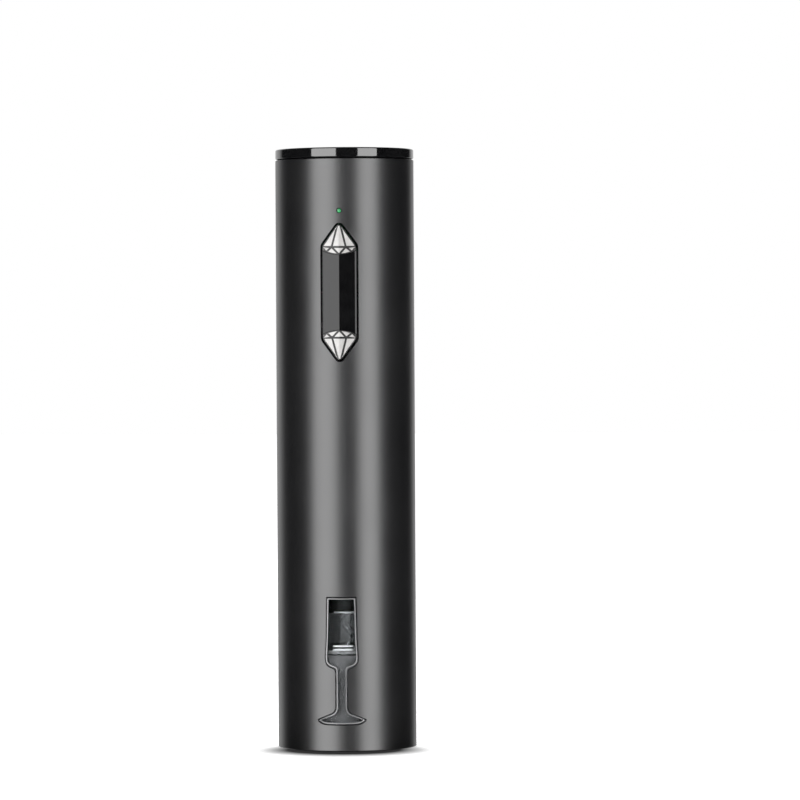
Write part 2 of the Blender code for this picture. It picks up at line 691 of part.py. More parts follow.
# ---- inner frame ----
def frame_profile():
    """Half-tube section with ribs that hold the sleeve's top flange and the motor plate."""
    rib_in = FRAME_IN - 1.5 * MM
    rib = 1.6 * MM
    ribs = [
        THREAD_TOP - 2 * FLANGE_T - GAP - rib, THREAD_TOP + GAP,
        MOTOR_PLATE_Z - GAP - rib, MOTOR_PLATE_Z + PLATE_T + GAP,
    ]
    profile = [(FRAME_R, FRAME_TOP), (FRAME_R, FRAME_Z), (FRAME_IN, FRAME_Z)]
    for low in ribs:
        profile += [(FRAME_IN, low), (rib_in, low), (rib_in, low + rib), (FRAME_IN, low + rib)]
    profile.append((FRAME_IN, FRAME_TOP))
    return profile


def screw_places():
    return [(way * BOSS_X, height) for height in SCREW_HEIGHTS for way in (-1, 1)]


def boss_reach():
    """How far from the split a screw boss runs before it is well inside the frame's wall."""
    middle = FRAME_IN + FRAME_WALL / 2
    return math.sqrt(middle ** 2 - (BOSS_X + BOSS_R) ** 2)


def frame_half(name, way):
    """One half of the inner frame; way is -1 for the front half and 1 for the rear one."""
    half = turned(name, frame_profile(), "black_nylon", steps=32)
    for number, (x, z) in enumerate(screw_places(), 1):
        boss = rod(f"{name}_boss_{number}", (x, 0, z), (x, way * (boss_reach() + 5 * MM), z), BOSS_R, sides=12)
        join(half, trim(boss, rod(f"{name}_boss_limit_{number}", (0, 0, z - 9 * MM), (0, 0, z + 9 * MM),
                                  FRAME_R - 0.5 * MM, sides=32)))
    return half


def front_frame():
    half = frame_half("front_frame", -1)
    ear_x = (ROCKER_W / 2 + BEZEL_GAP + BEZEL_WALL + GAP + 0.1 * MM, ROCKER_W / 2 + 3.7 * MM)
    rail_x = (BOARD_W / 2 + GAP, BOARD_W / 2 + 1.9 * MM)
    for end, way in (("left", -1), ("right", 1)):
        ear = sorted(way * x for x in ear_x)
        rail = sorted(way * x for x in rail_x)
        join(half, block(f"pivot_ear_{end}", (ear[0], PIVOT_Y - 1.7 * MM, ROCKER_Z - 1.9 * MM),
                         (ear[1], PIVOT_Y + 1.7 * MM, ROCKER_Z + 1.9 * MM)))
        join(half, block(f"board_rail_{end}", (rail[0], BOARD_FACE_Y - 3 * MM, BOARD_Z[0] + 2.5 * MM),
                         (rail[1], BOARD_FACE_Y + 3 * MM, CRADLE_Z - 2 * GAP)))
    opening = rocker_outline(BEZEL_GAP + BEZEL_WALL + GAP)
    wall_y = -FRAME_IN + 2.2 * MM
    cut(half, outline_plate("frame_opening", [opening], -FAR, wall_y, along="Y"))
    cut(half, rod("pivot_holes", (-FAR, PIVOT_Y, ROCKER_Z), (FAR, PIVOT_Y, ROCKER_Z), PIVOT_PIN_R + GAP))
    cut(half, rod("pipe_hole", (0, -FAR, LED_Z), (0, -BODY_R / 2, LED_Z), PIPE_R + GAP, sides=12))
    cut(half, block("behind_split", (-FAR, -GAP / 2, -FAR), (FAR, FAR, 3 * FAR)))
    for number, (x, z) in enumerate(screw_places(), 1):
        cut(half, rod(f"thread_hole_{number}", (x, -10 * MM, z), (x, MM, z), SCREW_R + GAP, sides=12))
    return half


def rear_frame():
    half = frame_half("rear_frame", 1)
    cut(half, block("ahead_of_split", (-FAR, -FAR, -FAR), (FAR, GAP / 2, 3 * FAR)))
    head_y = boss_reach() - 2 * MM
    for number, (x, z) in enumerate(screw_places(), 1):
        cut(half, rod(f"clearance_hole_{number}", (x, -MM, z), (x, FAR, z), SCREW_R + GAP, sides=12))
        cut(half, rod(f"head_recess_{number}", (x, head_y - GAP, z), (x, FAR, z), 2 * SCREW_R + GAP, sides=12))
    return cut(half, block("socket_slot", (-4.2 * MM, BODY_R / 2, USB_Z - 1.8 * MM),
                           (4.2 * MM, FAR, USB_Z + 1.8 * MM)))


def frame_screws():
    """Pan-head screws that close the two frame halves."""
    head_y = boss_reach() - 2 * MM
    for number, (x, z) in enumerate(screw_places(), 1):
        screw = rod(f"frame_screw_{number}", (x, -9 * MM, z), (x, head_y + 0.5 * MM, z), SCREW_R, "steel", sides=12)
        join(screw, rod(f"screw_head_{number}", (x, head_y, z), (x, head_y + 1.4 * MM, z), 2 * SCREW_R, sides=12))


# ---- rocker, bezel and switches ----
def roof_section(half_w, back_y):
    """Cross-section of the rocker's ridged face, as (x, y) points."""
    fall = ROCKER_FALL * half_w / (ROCKER_W / 2)
    return [(-half_w, RIDGE_Y + fall), (0, RIDGE_Y), (half_w, RIDGE_Y + fall), (half_w, back_y), (-half_w, back_y)]


def inlay_outline(way, grow=0.0):
    """The end of the rocker beyond a curved line, as (x, z) points; way is 1 for the upper one."""
    half_w = ROCKER_W / 2
    half = [(2 * half_w, ROCKER_HALF + half_w), (2 * half_w, INLAY_CUT + INLAY_CURVE - grow)]
    for share in (1, 0.75, 0.5, 0.25, 0):
        half.append((half_w * share, INLAY_CUT + INLAY_CURVE * share ** 2 - grow))
    outline = half + [(-x, z) for x, z in reversed(half[:-1])]
    return [(x, ROCKER_Z + way * z) for x, z in outline]


def rocker():
    pivot = (0, PIVOT_Y, ROCKER_Z)
    low, high = ROCKER_Z - ROCKER_HALF - MM, ROCKER_Z + ROCKER_HALF + MM
    button = outline_plate("rocker_button", [roof_section(ROCKER_W / 2 + MM, ROCKER_BACK_Y)], low, high,
                           "gloss_black")
    trim(button, outline_plate("rocker_edge", [rocker_outline()], -FAR, 0, along="Y"))
    for name, way in (("upper", 1), ("lower", -1)):
        cut(button, outline_plate(f"pocket_{name}", [inlay_outline(way, GAP)], -FAR, POCKET_Y, along="Y"))
        height = ROCKER_Z + way * SWITCH_SPREAD
        join(button, rod(f"post_{name}", (0, ROCKER_BACK_Y - MM, height),
                         (0, PLUNGER_TIP_Y - GAP, height), 1.2 * MM))
        inlay = outline_plate(f"diamond_inlay_{name}", [roof_section(ROCKER_W / 2 + MM, POCKET_Y - GAP)],
                              low, high, "pearl_white")
        trim(inlay, outline_plate(f"inlay_end_{name}", [inlay_outline(way)], -FAR, 0, along="Y"))
        trim(inlay, outline_plate(f"inlay_edge_{name}", [rocker_outline(-0.05 * MM)], -FAR, 0, along="Y"))
        hang(inlay, pivot)
    join(button, block("pivot_lug", (-2.5 * MM, ROCKER_BACK_Y - MM, ROCKER_Z - 1.7 * MM),
                       (2.5 * MM, PIVOT_Y + 1.7 * MM, ROCKER_Z + 1.7 * MM)))
    cut(button, rod("lug_hole", (-FAR, PIVOT_Y, ROCKER_Z), (FAR, PIVOT_Y, ROCKER_Z), PIVOT_PIN_R + GAP))
    hang(button, pivot)
    reach = ROCKER_W / 2 + 3.3 * MM
    rod("rocker_pivot_pin", (-reach, PIVOT_Y, ROCKER_Z), (reach, PIVOT_Y, ROCKER_Z), PIVOT_PIN_R, "steel", sides=12)


def switch_bezel():
    """Thin black rim behind the edge of the sleeve's opening, curved with the sleeve."""
    ring = outline_plate(
        "switch_bezel", [rocker_outline(BEZEL_GAP + BEZEL_WALL), rocker_outline(BEZEL_GAP)],
        -FAR, -FRAME_IN + 0.9 * MM, "gloss_black", along="Y")
    limit = rod("bezel_limit", (0, 0, ROCKER_Z - 2 * ROCKER_HALF), (0, 0, ROCKER_Z + 2 * ROCKER_HALF),
                SLEEVE_IN - GAP, sides=48)
    return trim(ring, limit)


def tact_switches():
    for name, way in (("upper", 1), ("lower", -1)):
        z = ROCKER_Z + way * SWITCH_SPREAD
        half = SWITCH_SIDE / 2
        body = block(f"tact_switch_{name}", (-half, SWITCH_TOP_Y, z - half),
                     (half, BOARD_FACE_Y - GAP, z + half), "black_nylon")
        floor_y = SWITCH_TOP_Y + 1.5 * MM
        cut(body, rod(f"plunger_hole_{name}", (0, -FAR, z), (0, floor_y, z), PLUNGER_R + GAP))
        plunger = rod(f"tact_plunger_{name}", (0, PLUNGER_TIP_Y, z), (0, floor_y - 0.8 * MM, z), PLUNGER_R,
                      "black_nylon")
        hang(plunger, (0, PLUNGER_TIP_Y, z))


# ---- boards, light, battery and leads ----
def boards():
    block("main_board", (-BOARD_W / 2, BOARD_FACE_Y, BOARD_Z[0]),
          (BOARD_W / 2, BOARD_FACE_Y + BOARD_T, BOARD_Z[1]), "board_green")
    block("charge_board", (-7 * MM, CHARGE_Y, USB_Z - 8 * MM),
          (7 * MM, CHARGE_Y + 1.2 * MM, min(USB_Z + 11 * MM, CRADLE_Z - GAP)), "board_green")
    mouth_y = FRAME_R - 0.2 * MM
    socket = block("usb_socket", (-3.75 * MM, CHARGE_Y + 1.2 * MM + GAP, USB_Z - 1.4 * MM),
                   (3.75 * MM, mouth_y, USB_Z + 1.4 * MM), "steel")
    cut(socket, block("socket_cavity", (-3.43 * MM, mouth_y - 4.4 * MM, USB_Z - 1.0 * MM),
                      (3.43 * MM, FAR, USB_Z + 1.0 * MM)))
    join(socket, block("socket_tongue", (-1.9 * MM, mouth_y - 5.0 * MM, USB_Z - 0.1 * MM),
                       (1.9 * MM, mouth_y - 0.8 * MM, USB_Z + 0.5 * MM)))
    block("status_led", (-0.8 * MM, BOARD_FACE_Y - 1.1 * MM, LED_Z - MM),
          (0.8 * MM, BOARD_FACE_Y - GAP, LED_Z + MM), "led_green")
    pipe_y = BOARD_FACE_Y - 1.1 * MM - GAP
    pipe = rod("led_light_pipe", (0, pipe_y, LED_Z), (0, -BODY_R, LED_Z), PIPE_R, "clear", sides=12)
    collar_y = -FRAME_IN + 0.3 * MM + GAP
    join(pipe, rod("pipe_collar", (0, collar_y, LED_Z), (0, collar_y + MM, LED_Z), 2.4 * PIPE_R, sides=12))


def battery():
    half = CELL_LEN / 2
    cell = rod("battery_cell", (-half, CELL_Y, CELL_Z), (half - MM, CELL_Y, CELL_Z), CELL_R, "cell_blue", sides=32)
    join(cell, rod("cell_button", (half - 2 * MM, CELL_Y, CELL_Z), (half, CELL_Y, CELL_Z), 3 * MM, sides=12))
    plate = rod("battery_cradle", (0, 0, CRADLE_Z), (0, 0, CRADLE_Z + PLATE_T), FLANGE_R, "black_nylon", sides=40)
    reach = CELL_R + 2 * MM
    join(plate, block("cradle_walls", (-0.4 * CELL_LEN, CELL_Y - reach, CRADLE_Z + PLATE_T / 2),
                      (0.4 * CELL_LEN, CELL_Y + reach, CELL_Z - CELL_R / 2)))
    cut(plate, rod("cell_trough", (-FAR, CELL_Y, CELL_Z), (FAR, CELL_Y, CELL_Z), CELL_R + GAP, sides=32))
    cut(plate, block("board_clearance", (-FAR, -FAR, 0), (FAR, BOARD_FACE_Y + BOARD_T + GAP, 3 * FAR)))


def leads():
    """Insulated leads from the cell and the motor to the main board."""
    board_y = BOARD_FACE_Y + BOARD_T
    for colour, way in (("red", 1), ("black", -1)):
        side = way * (CELL_LEN / 2 + 0.9 * MM)
        route = [
            (side, CELL_Y, CELL_Z), (side, CELL_Y - 4 * MM, CELL_Z),
            (side, CELL_Y - 8 * MM, CELL_Z - 0.6 * MM), (side * 0.97, CELL_Y - 10.4 * MM, CELL_Z - 1.4 * MM),
            (side * 0.86, CELL_Y - 12.6 * MM, CELL_Z - 2.4 * MM), (side * 0.7, board_y + 1.6 * MM, CELL_Z - 3.3 * MM),
            (side * 0.56, board_y + 0.9 * MM, CELL_Z - 4 * MM),
        ]
        wire(f"battery_lead_{colour}", route, 0.5 * MM, f"lead_{colour}")
        x = way * 4.5 * MM
        bell_y = -math.sqrt(MOTOR_R ** 2 - x ** 2)
        motor_route = [
            (x, bell_y - 0.75 * MM, MOTOR_TOP - 1.6 * MM), (x, bell_y - 0.95 * MM, MOTOR_TOP - 3.4 * MM),
            (x, bell_y - 1.2 * MM, MOTOR_TOP - 5.2 * MM), (x, board_y + 0.7 * MM, MOTOR_TOP - 7 * MM),
        ]
        wire(f"motor_lead_{colour}", motor_route, 0.35 * MM, f"lead_{colour}")


outer_sleeve()
top_cap()
flute_window()
neck_guide()
cork_chamber()
worm_guide()
corkscrew_worm()
worm_carriage()
follower_pins()
drive_tube()
thread_sleeve()
output_bush()
ring_gear()
planet_gears()
carriers()
motor_plate()
motor()
front_frame()
rear_frame()
frame_screws()
rocker()
switch_bezel()
tact_switches()
boards()
battery()
leads()
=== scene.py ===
import math

import bpy
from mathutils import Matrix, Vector


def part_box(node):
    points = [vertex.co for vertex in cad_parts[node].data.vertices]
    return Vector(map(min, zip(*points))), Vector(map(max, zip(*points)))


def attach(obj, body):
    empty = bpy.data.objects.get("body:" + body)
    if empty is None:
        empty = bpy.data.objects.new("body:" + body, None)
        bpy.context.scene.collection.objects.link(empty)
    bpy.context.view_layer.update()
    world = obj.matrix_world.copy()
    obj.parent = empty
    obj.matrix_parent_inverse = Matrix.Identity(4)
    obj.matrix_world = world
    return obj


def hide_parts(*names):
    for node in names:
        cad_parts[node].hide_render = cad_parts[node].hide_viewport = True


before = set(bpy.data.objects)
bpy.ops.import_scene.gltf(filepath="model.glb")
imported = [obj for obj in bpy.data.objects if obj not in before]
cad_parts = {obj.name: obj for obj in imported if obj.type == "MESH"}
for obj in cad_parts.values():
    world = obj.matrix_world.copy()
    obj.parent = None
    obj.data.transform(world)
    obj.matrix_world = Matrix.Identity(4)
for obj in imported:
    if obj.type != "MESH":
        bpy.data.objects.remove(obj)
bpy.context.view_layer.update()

# ---- Studio ----
# The opener stands on white paper with a wide softbox on each side of the camera, which is a long
# lens' distance away at two thirds of the opener's height. The camera sees a plain white room.
# A contact shadow is painted on the paper: its colour and its glow darken softly under the front of the
# base and a little way before it.
bpy.context.scene.view_settings.view_transform = "Standard"
CAMERA_TURN = math.radians(4.7)
CAMERA_ROLL = math.radians(0.33)
CAMERA_AWAY = 1.65
CAMERA_HEIGHT = 0.1406
bpy.ops.object.camera_add(
    location=(CAMERA_AWAY * math.sin(CAMERA_TURN), -CAMERA_AWAY * math.cos(CAMERA_TURN), CAMERA_HEIGHT),
    rotation=(math.pi / 2, CAMERA_ROLL, CAMERA_TURN))
camera = bpy.context.object
camera.data.sensor_width = 36
camera.data.lens = 209.4
camera.data.shift_x = 0.06825
camera.data.shift_y = -0.06375
bpy.context.scene.camera = camera


def softbox(name, degrees, width, height, radiance, shines=True, away=1.2, rise=0.14):
    """A big soft light at an angle from the camera's side; it makes either the shine or the fill."""
    turn = CAMERA_TURN + math.radians(degrees)
    bpy.ops.object.light_add(
        type="AREA", location=(away * math.sin(turn), -away * math.cos(turn), rise),
        rotation=(math.pi / 2, 0, turn))
    lamp = bpy.context.object
    lamp.name = name
    lamp.data.shape = "RECTANGLE"
    lamp.data.size = width
    lamp.data.size_y = height
    lamp.data.energy = radiance * math.pi * width * height
    lamp.visible_camera = False
    lamp.visible_glossy = shines
    lamp.visible_diffuse = not shines
    return lamp


for kind, height, radiance in (("softbox", 1.8, 4.5), ("fill", 0.4, 3.1)):
    for side, degrees, width in (("left", -35, 0.92), ("right", 38.5, 0.71)):
        softbox(f"{kind}_{side}", degrees, width, height, radiance, shines=kind == "softbox")
overhead = softbox("overhead", 180, 0.4, 0.4, 77.0, shines=False, away=0.3, rise=2.0)
overhead.rotation_euler = (0, 0, 0)

# Reflections find a white wall only straight behind the opener, and a dark room elsewhere.
WALL_TURN = CAMERA_TURN + 0.10
surround = bpy.data.worlds.new("white_room")
bpy.context.scene.world = surround
surround.use_nodes = True
room = surround.node_tree.nodes
room_links = surround.node_tree.links
seen_by_camera = room.new("ShaderNodeLightPath")
direction = room.new("ShaderNodeTexCoord")
toward = room.new("ShaderNodeVectorMath")
toward.operation = "DOT_PRODUCT"
toward.inputs[1].default_value = (math.sin(WALL_TURN), -math.cos(WALL_TURN), 0)
spread = room.new("ShaderNodeMapRange")
spread.inputs["From Min"].default_value = -1
walls = room.new("ShaderNodeValToRGB")
walls.color_ramp.elements[0].position = 0.09
walls.color_ramp.elements[0].color = (0.9, 0.9, 0.9, 1)
walls.color_ramp.elements[1].position = 0.17
walls.color_ramp.elements[1].color = (0.012, 0.012, 0.012, 1)
plain = room.new("ShaderNodeBackground")
plain.inputs["Color"].default_value = (1, 1, 1, 1)
either = room.new("ShaderNodeMixShader")
room_links.new(direction.outputs["Generated"], toward.inputs[0])
room_links.new(toward.outputs["Value"], spread.inputs["Value"])
room_links.new(spread.outputs["Result"], walls.inputs["Fac"])
room_links.new(walls.outputs["Color"], room["Background"].inputs["Color"])
room_links.new(seen_by_camera.outputs["Is Camera Ray"], either.inputs["Fac"])
room_links.new(room["Background"].outputs["Background"], either.inputs[1])
room_links.new(plain.outputs["Background"], either.inputs[2])
room_links.new(either.outputs["Shader"], room["World Output"].inputs["Surface"])

bpy.ops.mesh.primitive_plane_add(size=12, location=(0, 0, -0.0001))
sweep = bpy.context.object
sweep.name = "floor_sweep"
sweep.visible_glossy = False
paper_with_painted_shadow = bpy.data.materials.new("paper_with_painted_shadow")
paper_with_painted_shadow.use_nodes = True
paper = paper_with_painted_shadow.node_tree.nodes
paper["Principled BSDF"].inputs["Roughness"].default_value = 0.9
paper["Principled BSDF"].inputs["Emission Color"].default_value = (1, 1, 1, 1)
# Painted shadow: inside an ellipse under the front of the base, the paper's colour and glow fall nearly to
# black.
paper_place = paper.new("ShaderNodeTexCoord")
painted_shadow_place = paper.new("ShaderNodeMapping")
painted_shadow_place.vector_type = "TEXTURE"
painted_shadow_place.inputs["Location"].default_value = (0, -0.017, 0)
painted_shadow_place.inputs["Scale"].default_value = (0.036, 0.030, 1)
from_painted_shadow = paper.new("ShaderNodeVectorMath")
from_painted_shadow.operation = "LENGTH"
lit = paper.new("ShaderNodeMapRange")
lit.inputs["From Min"].default_value = 0.55
lit.inputs["From Max"].default_value = 1.03
lit.inputs["To Min"].default_value = 0.008
fibres = paper.new("ShaderNodeTexNoise")
fibres.inputs["Scale"].default_value = 60
pulp = paper.new("ShaderNodeValToRGB")
pulp.color_ramp.elements[0].color = (0.9, 0.9, 0.9, 1)
pulp.color_ramp.elements[1].color = (0.94, 0.94, 0.94, 1)
shade = paper.new("ShaderNodeVectorMath")
shade.operation = "SCALE"
paper_links = paper_with_painted_shadow.node_tree.links
paper_links.new(paper_place.outputs["Object"], painted_shadow_place.inputs["Vector"])
paper_links.new(painted_shadow_place.outputs["Vector"], from_painted_shadow.inputs[0])
paper_links.new(from_painted_shadow.outputs["Value"], lit.inputs["Value"])
paper_links.new(fibres.outputs["Fac"], pulp.inputs["Fac"])
paper_links.new(pulp.outputs["Color"], shade.inputs[0])
paper_links.new(lit.outputs["Result"], shade.inputs["Scale"])
paper_links.new(shade.outputs[0], paper["Principled BSDF"].inputs["Base Color"])
paper_links.new(lit.outputs["Result"], paper["Principled BSDF"].inputs["Emission Strength"])
sweep.data.materials.append(paper_with_painted_shadow)

# ---- Outer sleeve ----
# A drawn aluminium tube, milled with its openings and then sprayed with a fine satin black coat.
# The coat covers the chamfered edges of the openings too, and the charging slot is at the seam.
BODY_R = 0.0245
SLEEVE_WALL = 0.0008
SLEEVE_TOP = 0.2074
SLEEVE_MID_R = BODY_R - SLEEVE_WALL / 2
ROCKER_Z = 0.1604
LIGHT_Z = 0.1890
SOCKET_Z = 0.169
LIGHT_HOLE_R = 0.00074
CUT_EDGE = 0.00022
ON_PLANE = 0.0000001
WELD = 0.000002


def rounded(corners, steps=5):
    """(x, z, reach) corners as a closed outline; each corner is eased over its reach."""
    points = []
    for i, (x, z, reach) in enumerate(corners):
        here = Vector((x, z))
        if reach == 0:
            points.append(tuple(here))
            continue
        for_before = Vector(corners[i - 1][:2]) - here
        for_after = Vector(corners[(i + 1) % len(corners)][:2]) - here
        start = here + for_before.normalized() * min(reach, for_before.length * 0.48)
        end = here + for_after.normalized() * min(reach, for_after.length * 0.48)
        for step in range(steps + 1):
            t = step / steps
            points.append(tuple(start.lerp(here, t).lerp(here.lerp(end, t), t)))
    return points


def both_sides(half):
    """A half outline at +x from top to bottom, closed by its mirror image."""
    return half + [(-x, z, reach) for x, z, reach in reversed(half)]


def hexagon(grow=0.0):
    """The long pointed hexagon of the rocker, in (x, z, reach)."""
    half = [(0.0006 + grow / 2, 0.0236 + grow, 0.0006), (0.0060 + grow, 0.0163 + grow / 2, 0.0009)]
    half += [(x, -z, reach) for x, z, reach in reversed(half)]
    return [(x, ROCKER_Z + z, reach) for x, z, reach in both_sides(half)]


def glass(grow):
    """The champagne glass of the window, in (x, z, reach)."""
    return both_sides([
        (0.00495 + grow, 0.0535 + grow, 0.0003), (0.0052 + grow, 0.0400, 0.003),
        (0.0057 + grow, 0.0314 - grow * 0.4, 0.0018), (0.0045 + grow * 0.6, 0.0299 - grow, 0.0010),
        (0.0018 + grow, 0.0290 - grow, 0.0012), (0.0018 + grow, 0.0147 + grow * 0.4, 0.0010),
        (0.0026 + grow * 0.7, 0.0132 + grow * 0.9, 0.0010), (0.0083 + grow * 1.5, 0.0109, 0.0006),
        (0.0066 + grow * 0.5, 0.0097 - grow, 0.0014), (0.0020, 0.0095 - grow, 0)])


def wrapped(outline, radius=SLEEVE_MID_R):
    """An outline as seen from the front, laid out flat along the middle of a tube's wall."""
    return [(radius * math.asin(max(-1.0, min(1.0, x / BODY_R))), z) for x, z in outline]


def pick(piece):
    """Select one piece alone and make it the active one."""
    bpy.ops.object.select_all(action="DESELECT")
    piece.select_set(True)
    bpy.context.view_layer.objects.active = piece


def sheet_cut(name, outlines, thickness, chamfer, front_y):
    """Flat outlines in (x, z) cut from sheet, chamfered all round, front face toward -Y."""
    drawing = bpy.data.curves.new(name, "CURVE")
    drawing.dimensions = "2D"
    drawing.fill_mode = "BOTH"
    drawing.extrude = thickness / 2 - chamfer
    drawing.bevel_depth = chamfer
    drawing.bevel_resolution = 0
    drawing.offset = -chamfer
    for outline in outlines:
        line = drawing.splines.new("POLY")
        line.points.add(len(outline) - 1)
        for point, (x, z) in zip(line.points, outline):
            point.co = (x, z, 0, 1)
        line.use_cyclic_u = True
    piece = bpy.data.objects.new(name, drawing)
    bpy.context.scene.collection.objects.link(piece)
    piece.rotation_euler.x = math.pi / 2
    piece.location.y = front_y + thickness / 2
    pick(piece)
    bpy.ops.object.convert(target="MESH")
    bpy.ops.object.transform_apply()
    bpy.ops.object.mode_set(mode="EDIT")
    bpy.ops.mesh.select_all(action="SELECT")
    bpy.ops.mesh.remove_doubles(threshold=WELD)
    bpy.ops.mesh.normals_make_consistent(inside=False)
    bpy.ops.object.mode_set(mode="OBJECT")
    return bpy.context.object


def slice_piece(piece, at, normal, **how):
    """Bisect the whole piece with a plane."""
    pick(piece)
    bpy.ops.object.mode_set(mode="EDIT")
    bpy.ops.mesh.select_all(action="SELECT")
    bpy.ops.mesh.bisect(plane_co=at, plane_no=normal, threshold=ON_PLANE, **how)
    bpy.ops.object.mode_set(mode="OBJECT")
    return piece


def apply_modifiers(piece):
    """Apply every modifier of a piece, and leave it as the active one."""
    pick(piece)
    for modifier in list(piece.modifiers):
        bpy.ops.object.modifier_apply(modifier=modifier.name)
    return piece


def wrap_round(piece, half_angle, radius, strips):
    """Slice an upright flat piece into strips and bend it round the Z axis, front toward -Y."""
    half_width = half_angle * radius
    pick(piece)
    bpy.ops.object.mode_set(mode="EDIT")
    for strip in range(strips + 1):
        x = -half_width + 2 * half_width * strip / strips
        bpy.ops.mesh.select_all(action="SELECT")
        bpy.ops.mesh.bisect(
            plane_co=(x, 0, 0), plane_no=(1, 0, 0), threshold=ON_PLANE,
            clear_inner=strip == 0, clear_outer=strip == strips,
            use_fill=half_angle < 3 and strip in (0, strips))
    bpy.ops.object.mode_set(mode="OBJECT")
    bend = piece.modifiers.new("roll", "SIMPLE_DEFORM")
    bend.deform_method = "BEND"
    bend.deform_axis = "Z"
    bend.angle = 2 * half_angle
    apply_modifiers(piece)
    bpy.ops.object.mode_set(mode="EDIT")
    bpy.ops.mesh.select_all(action="SELECT")
    bpy.ops.transform.translate(value=(0, -radius, 0))
    bpy.ops.mesh.remove_doubles(threshold=0.00003)
    bpy.ops.mesh.normals_make_consistent(inside=False)
    bpy.ops.object.mode_set(mode="OBJECT")
    bpy.ops.object.shade_smooth_by_angle(angle=math.radians(30))
    return piece


def worked_finish(name, dark, light, rough, cloud, relief, depth, drawn=(1, 1, 1), metallic=0.0,
                  ramp=(0.3, 0.7)):
    """A finish whose colour and roughness drift between two values over a fine relief."""
    made = bpy.data.materials.new(name)
    made.use_nodes = True
    nodes = made.node_tree.nodes
    links = made.node_tree.links
    shader = nodes["Principled BSDF"]
    shader.inputs["Metallic"].default_value = metallic
    place = nodes.new("ShaderNodeTexCoord")
    mapping = nodes.new("ShaderNodeMapping")
    mapping.inputs["Scale"].default_value = drawn
    patches = nodes.new("ShaderNodeTexNoise")
    patches.inputs["Scale"].default_value = cloud
    patches.inputs["Detail"].default_value = 5
    tint = nodes.new("ShaderNodeValToRGB")
    tint.color_ramp.elements[0].position = ramp[0]
    tint.color_ramp.elements[0].color = (*dark, 1)
    tint.color_ramp.elements[1].position = ramp[1]
    tint.color_ramp.elements[1].color = (*light, 1)
    sheen = nodes.new("ShaderNodeMapRange")
    sheen.inputs["From Min"].default_value = 0.3
    sheen.inputs["From Max"].default_value = 0.7
    sheen.inputs["To Min"].default_value = rough[0]
    sheen.inputs["To Max"].default_value = rough[1]
    grit = nodes.new("ShaderNodeTexNoise")
    grit.inputs["Scale"].default_value = relief
    grit.inputs["Detail"].default_value = 3
    bump = nodes.new("ShaderNodeBump")
    bump.inputs["Strength"].default_value = depth
    bump.inputs["Distance"].default_value = 0.0001
    links.new(place.outputs["Object"], mapping.inputs["Vector"])
    links.new(mapping.outputs["Vector"], patches.inputs["Vector"])
    links.new(mapping.outputs["Vector"], grit.inputs["Vector"])
    links.new(patches.outputs["Fac"], tint.inputs["Fac"])
    links.new(tint.outputs["Color"], shader.inputs["Base Color"])
    links.new(patches.outputs["Fac"], sheen.inputs["Value"])
    links.new(sheen.outputs["Result"], shader.inputs["Roughness"])
    links.new(grit.outputs["Fac"], bump.inputs["Height"])
    links.new(bump.outputs["Normal"], shader.inputs["Normal"])
    return made


def tune(finish, settings):
    """Set inputs of a finish's shader by their names."""
    shader = finish.node_tree.nodes["Principled BSDF"]
    for name, value in settings.items():
        shader.inputs[name].default_value = value


satin_coat = worked_finish(
    "satin_coat", (0.006, 0.006, 0.007), (0.010, 0.010, 0.011), (0.325, 0.36), cloud=40,
    relief=9000, depth=0.04, ramp=(0.2, 0.8))
tune(satin_coat, {"Specular IOR Level": 1.0})

seam_x = math.pi * SLEEVE_MID_R
overlap = seam_x + 0.006
tube_blank = [(overlap, SLEEVE_TOP), (overlap, 0), (-overlap, 0), (-overlap, SLEEVE_TOP)]
socket_slot = [(0.0048, 0.0024, 0.0016), (0.0048, -0.0024, 0.0016)]
socket_slot = [(x, SOCKET_Z + z, reach) for x, z, reach in both_sides(socket_slot)]
light_hole = [(LIGHT_HOLE_R * math.cos(i * math.pi / 12),
               LIGHT_Z + LIGHT_HOLE_R * math.sin(i * math.pi / 12)) for i in range(24)]
slot_flat = wrapped(rounded(socket_slot))
openings = [wrapped(rounded(hexagon(0.0005))), wrapped(rounded(glass(0.00028), 8)), light_hole]
openings += [[(x + way * seam_x, z) for x, z in slot_flat] for way in (-1, 1)]
sleeve = sheet_cut("satin_sleeve", [tube_blank] + openings, SLEEVE_WALL, CUT_EDGE,
                   front_y=-SLEEVE_WALL / 2)
wrap_round(sleeve, math.pi, SLEEVE_MID_R, 160)

# The seam's two sides have points at different heights, so both are sliced at each and then welded.
bpy.ops.object.mode_set(mode="EDIT")
bpy.ops.mesh.select_mode(type="VERT")
bpy.ops.mesh.select_all(action="DESELECT")
bpy.ops.mesh.select_non_manifold()
bpy.ops.object.mode_set(mode="OBJECT")
for height in sorted({round(vertex.co.z, 7) for vertex in sleeve.data.vertices if vertex.select}):
    slice_piece(sleeve, (0, 0, height), (0, 0, 1))
bpy.ops.object.mode_set(mode="EDIT")
bpy.ops.mesh.select_all(action="SELECT")
bpy.ops.mesh.remove_doubles(threshold=0.000005)
bpy.ops.object.mode_set(mode="OBJECT")
bpy.ops.object.shade_smooth_by_angle(angle=math.radians(30))
sleeve.data.materials.append(satin_coat)
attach(sleeve, "housing")
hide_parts("outer_sleeve")

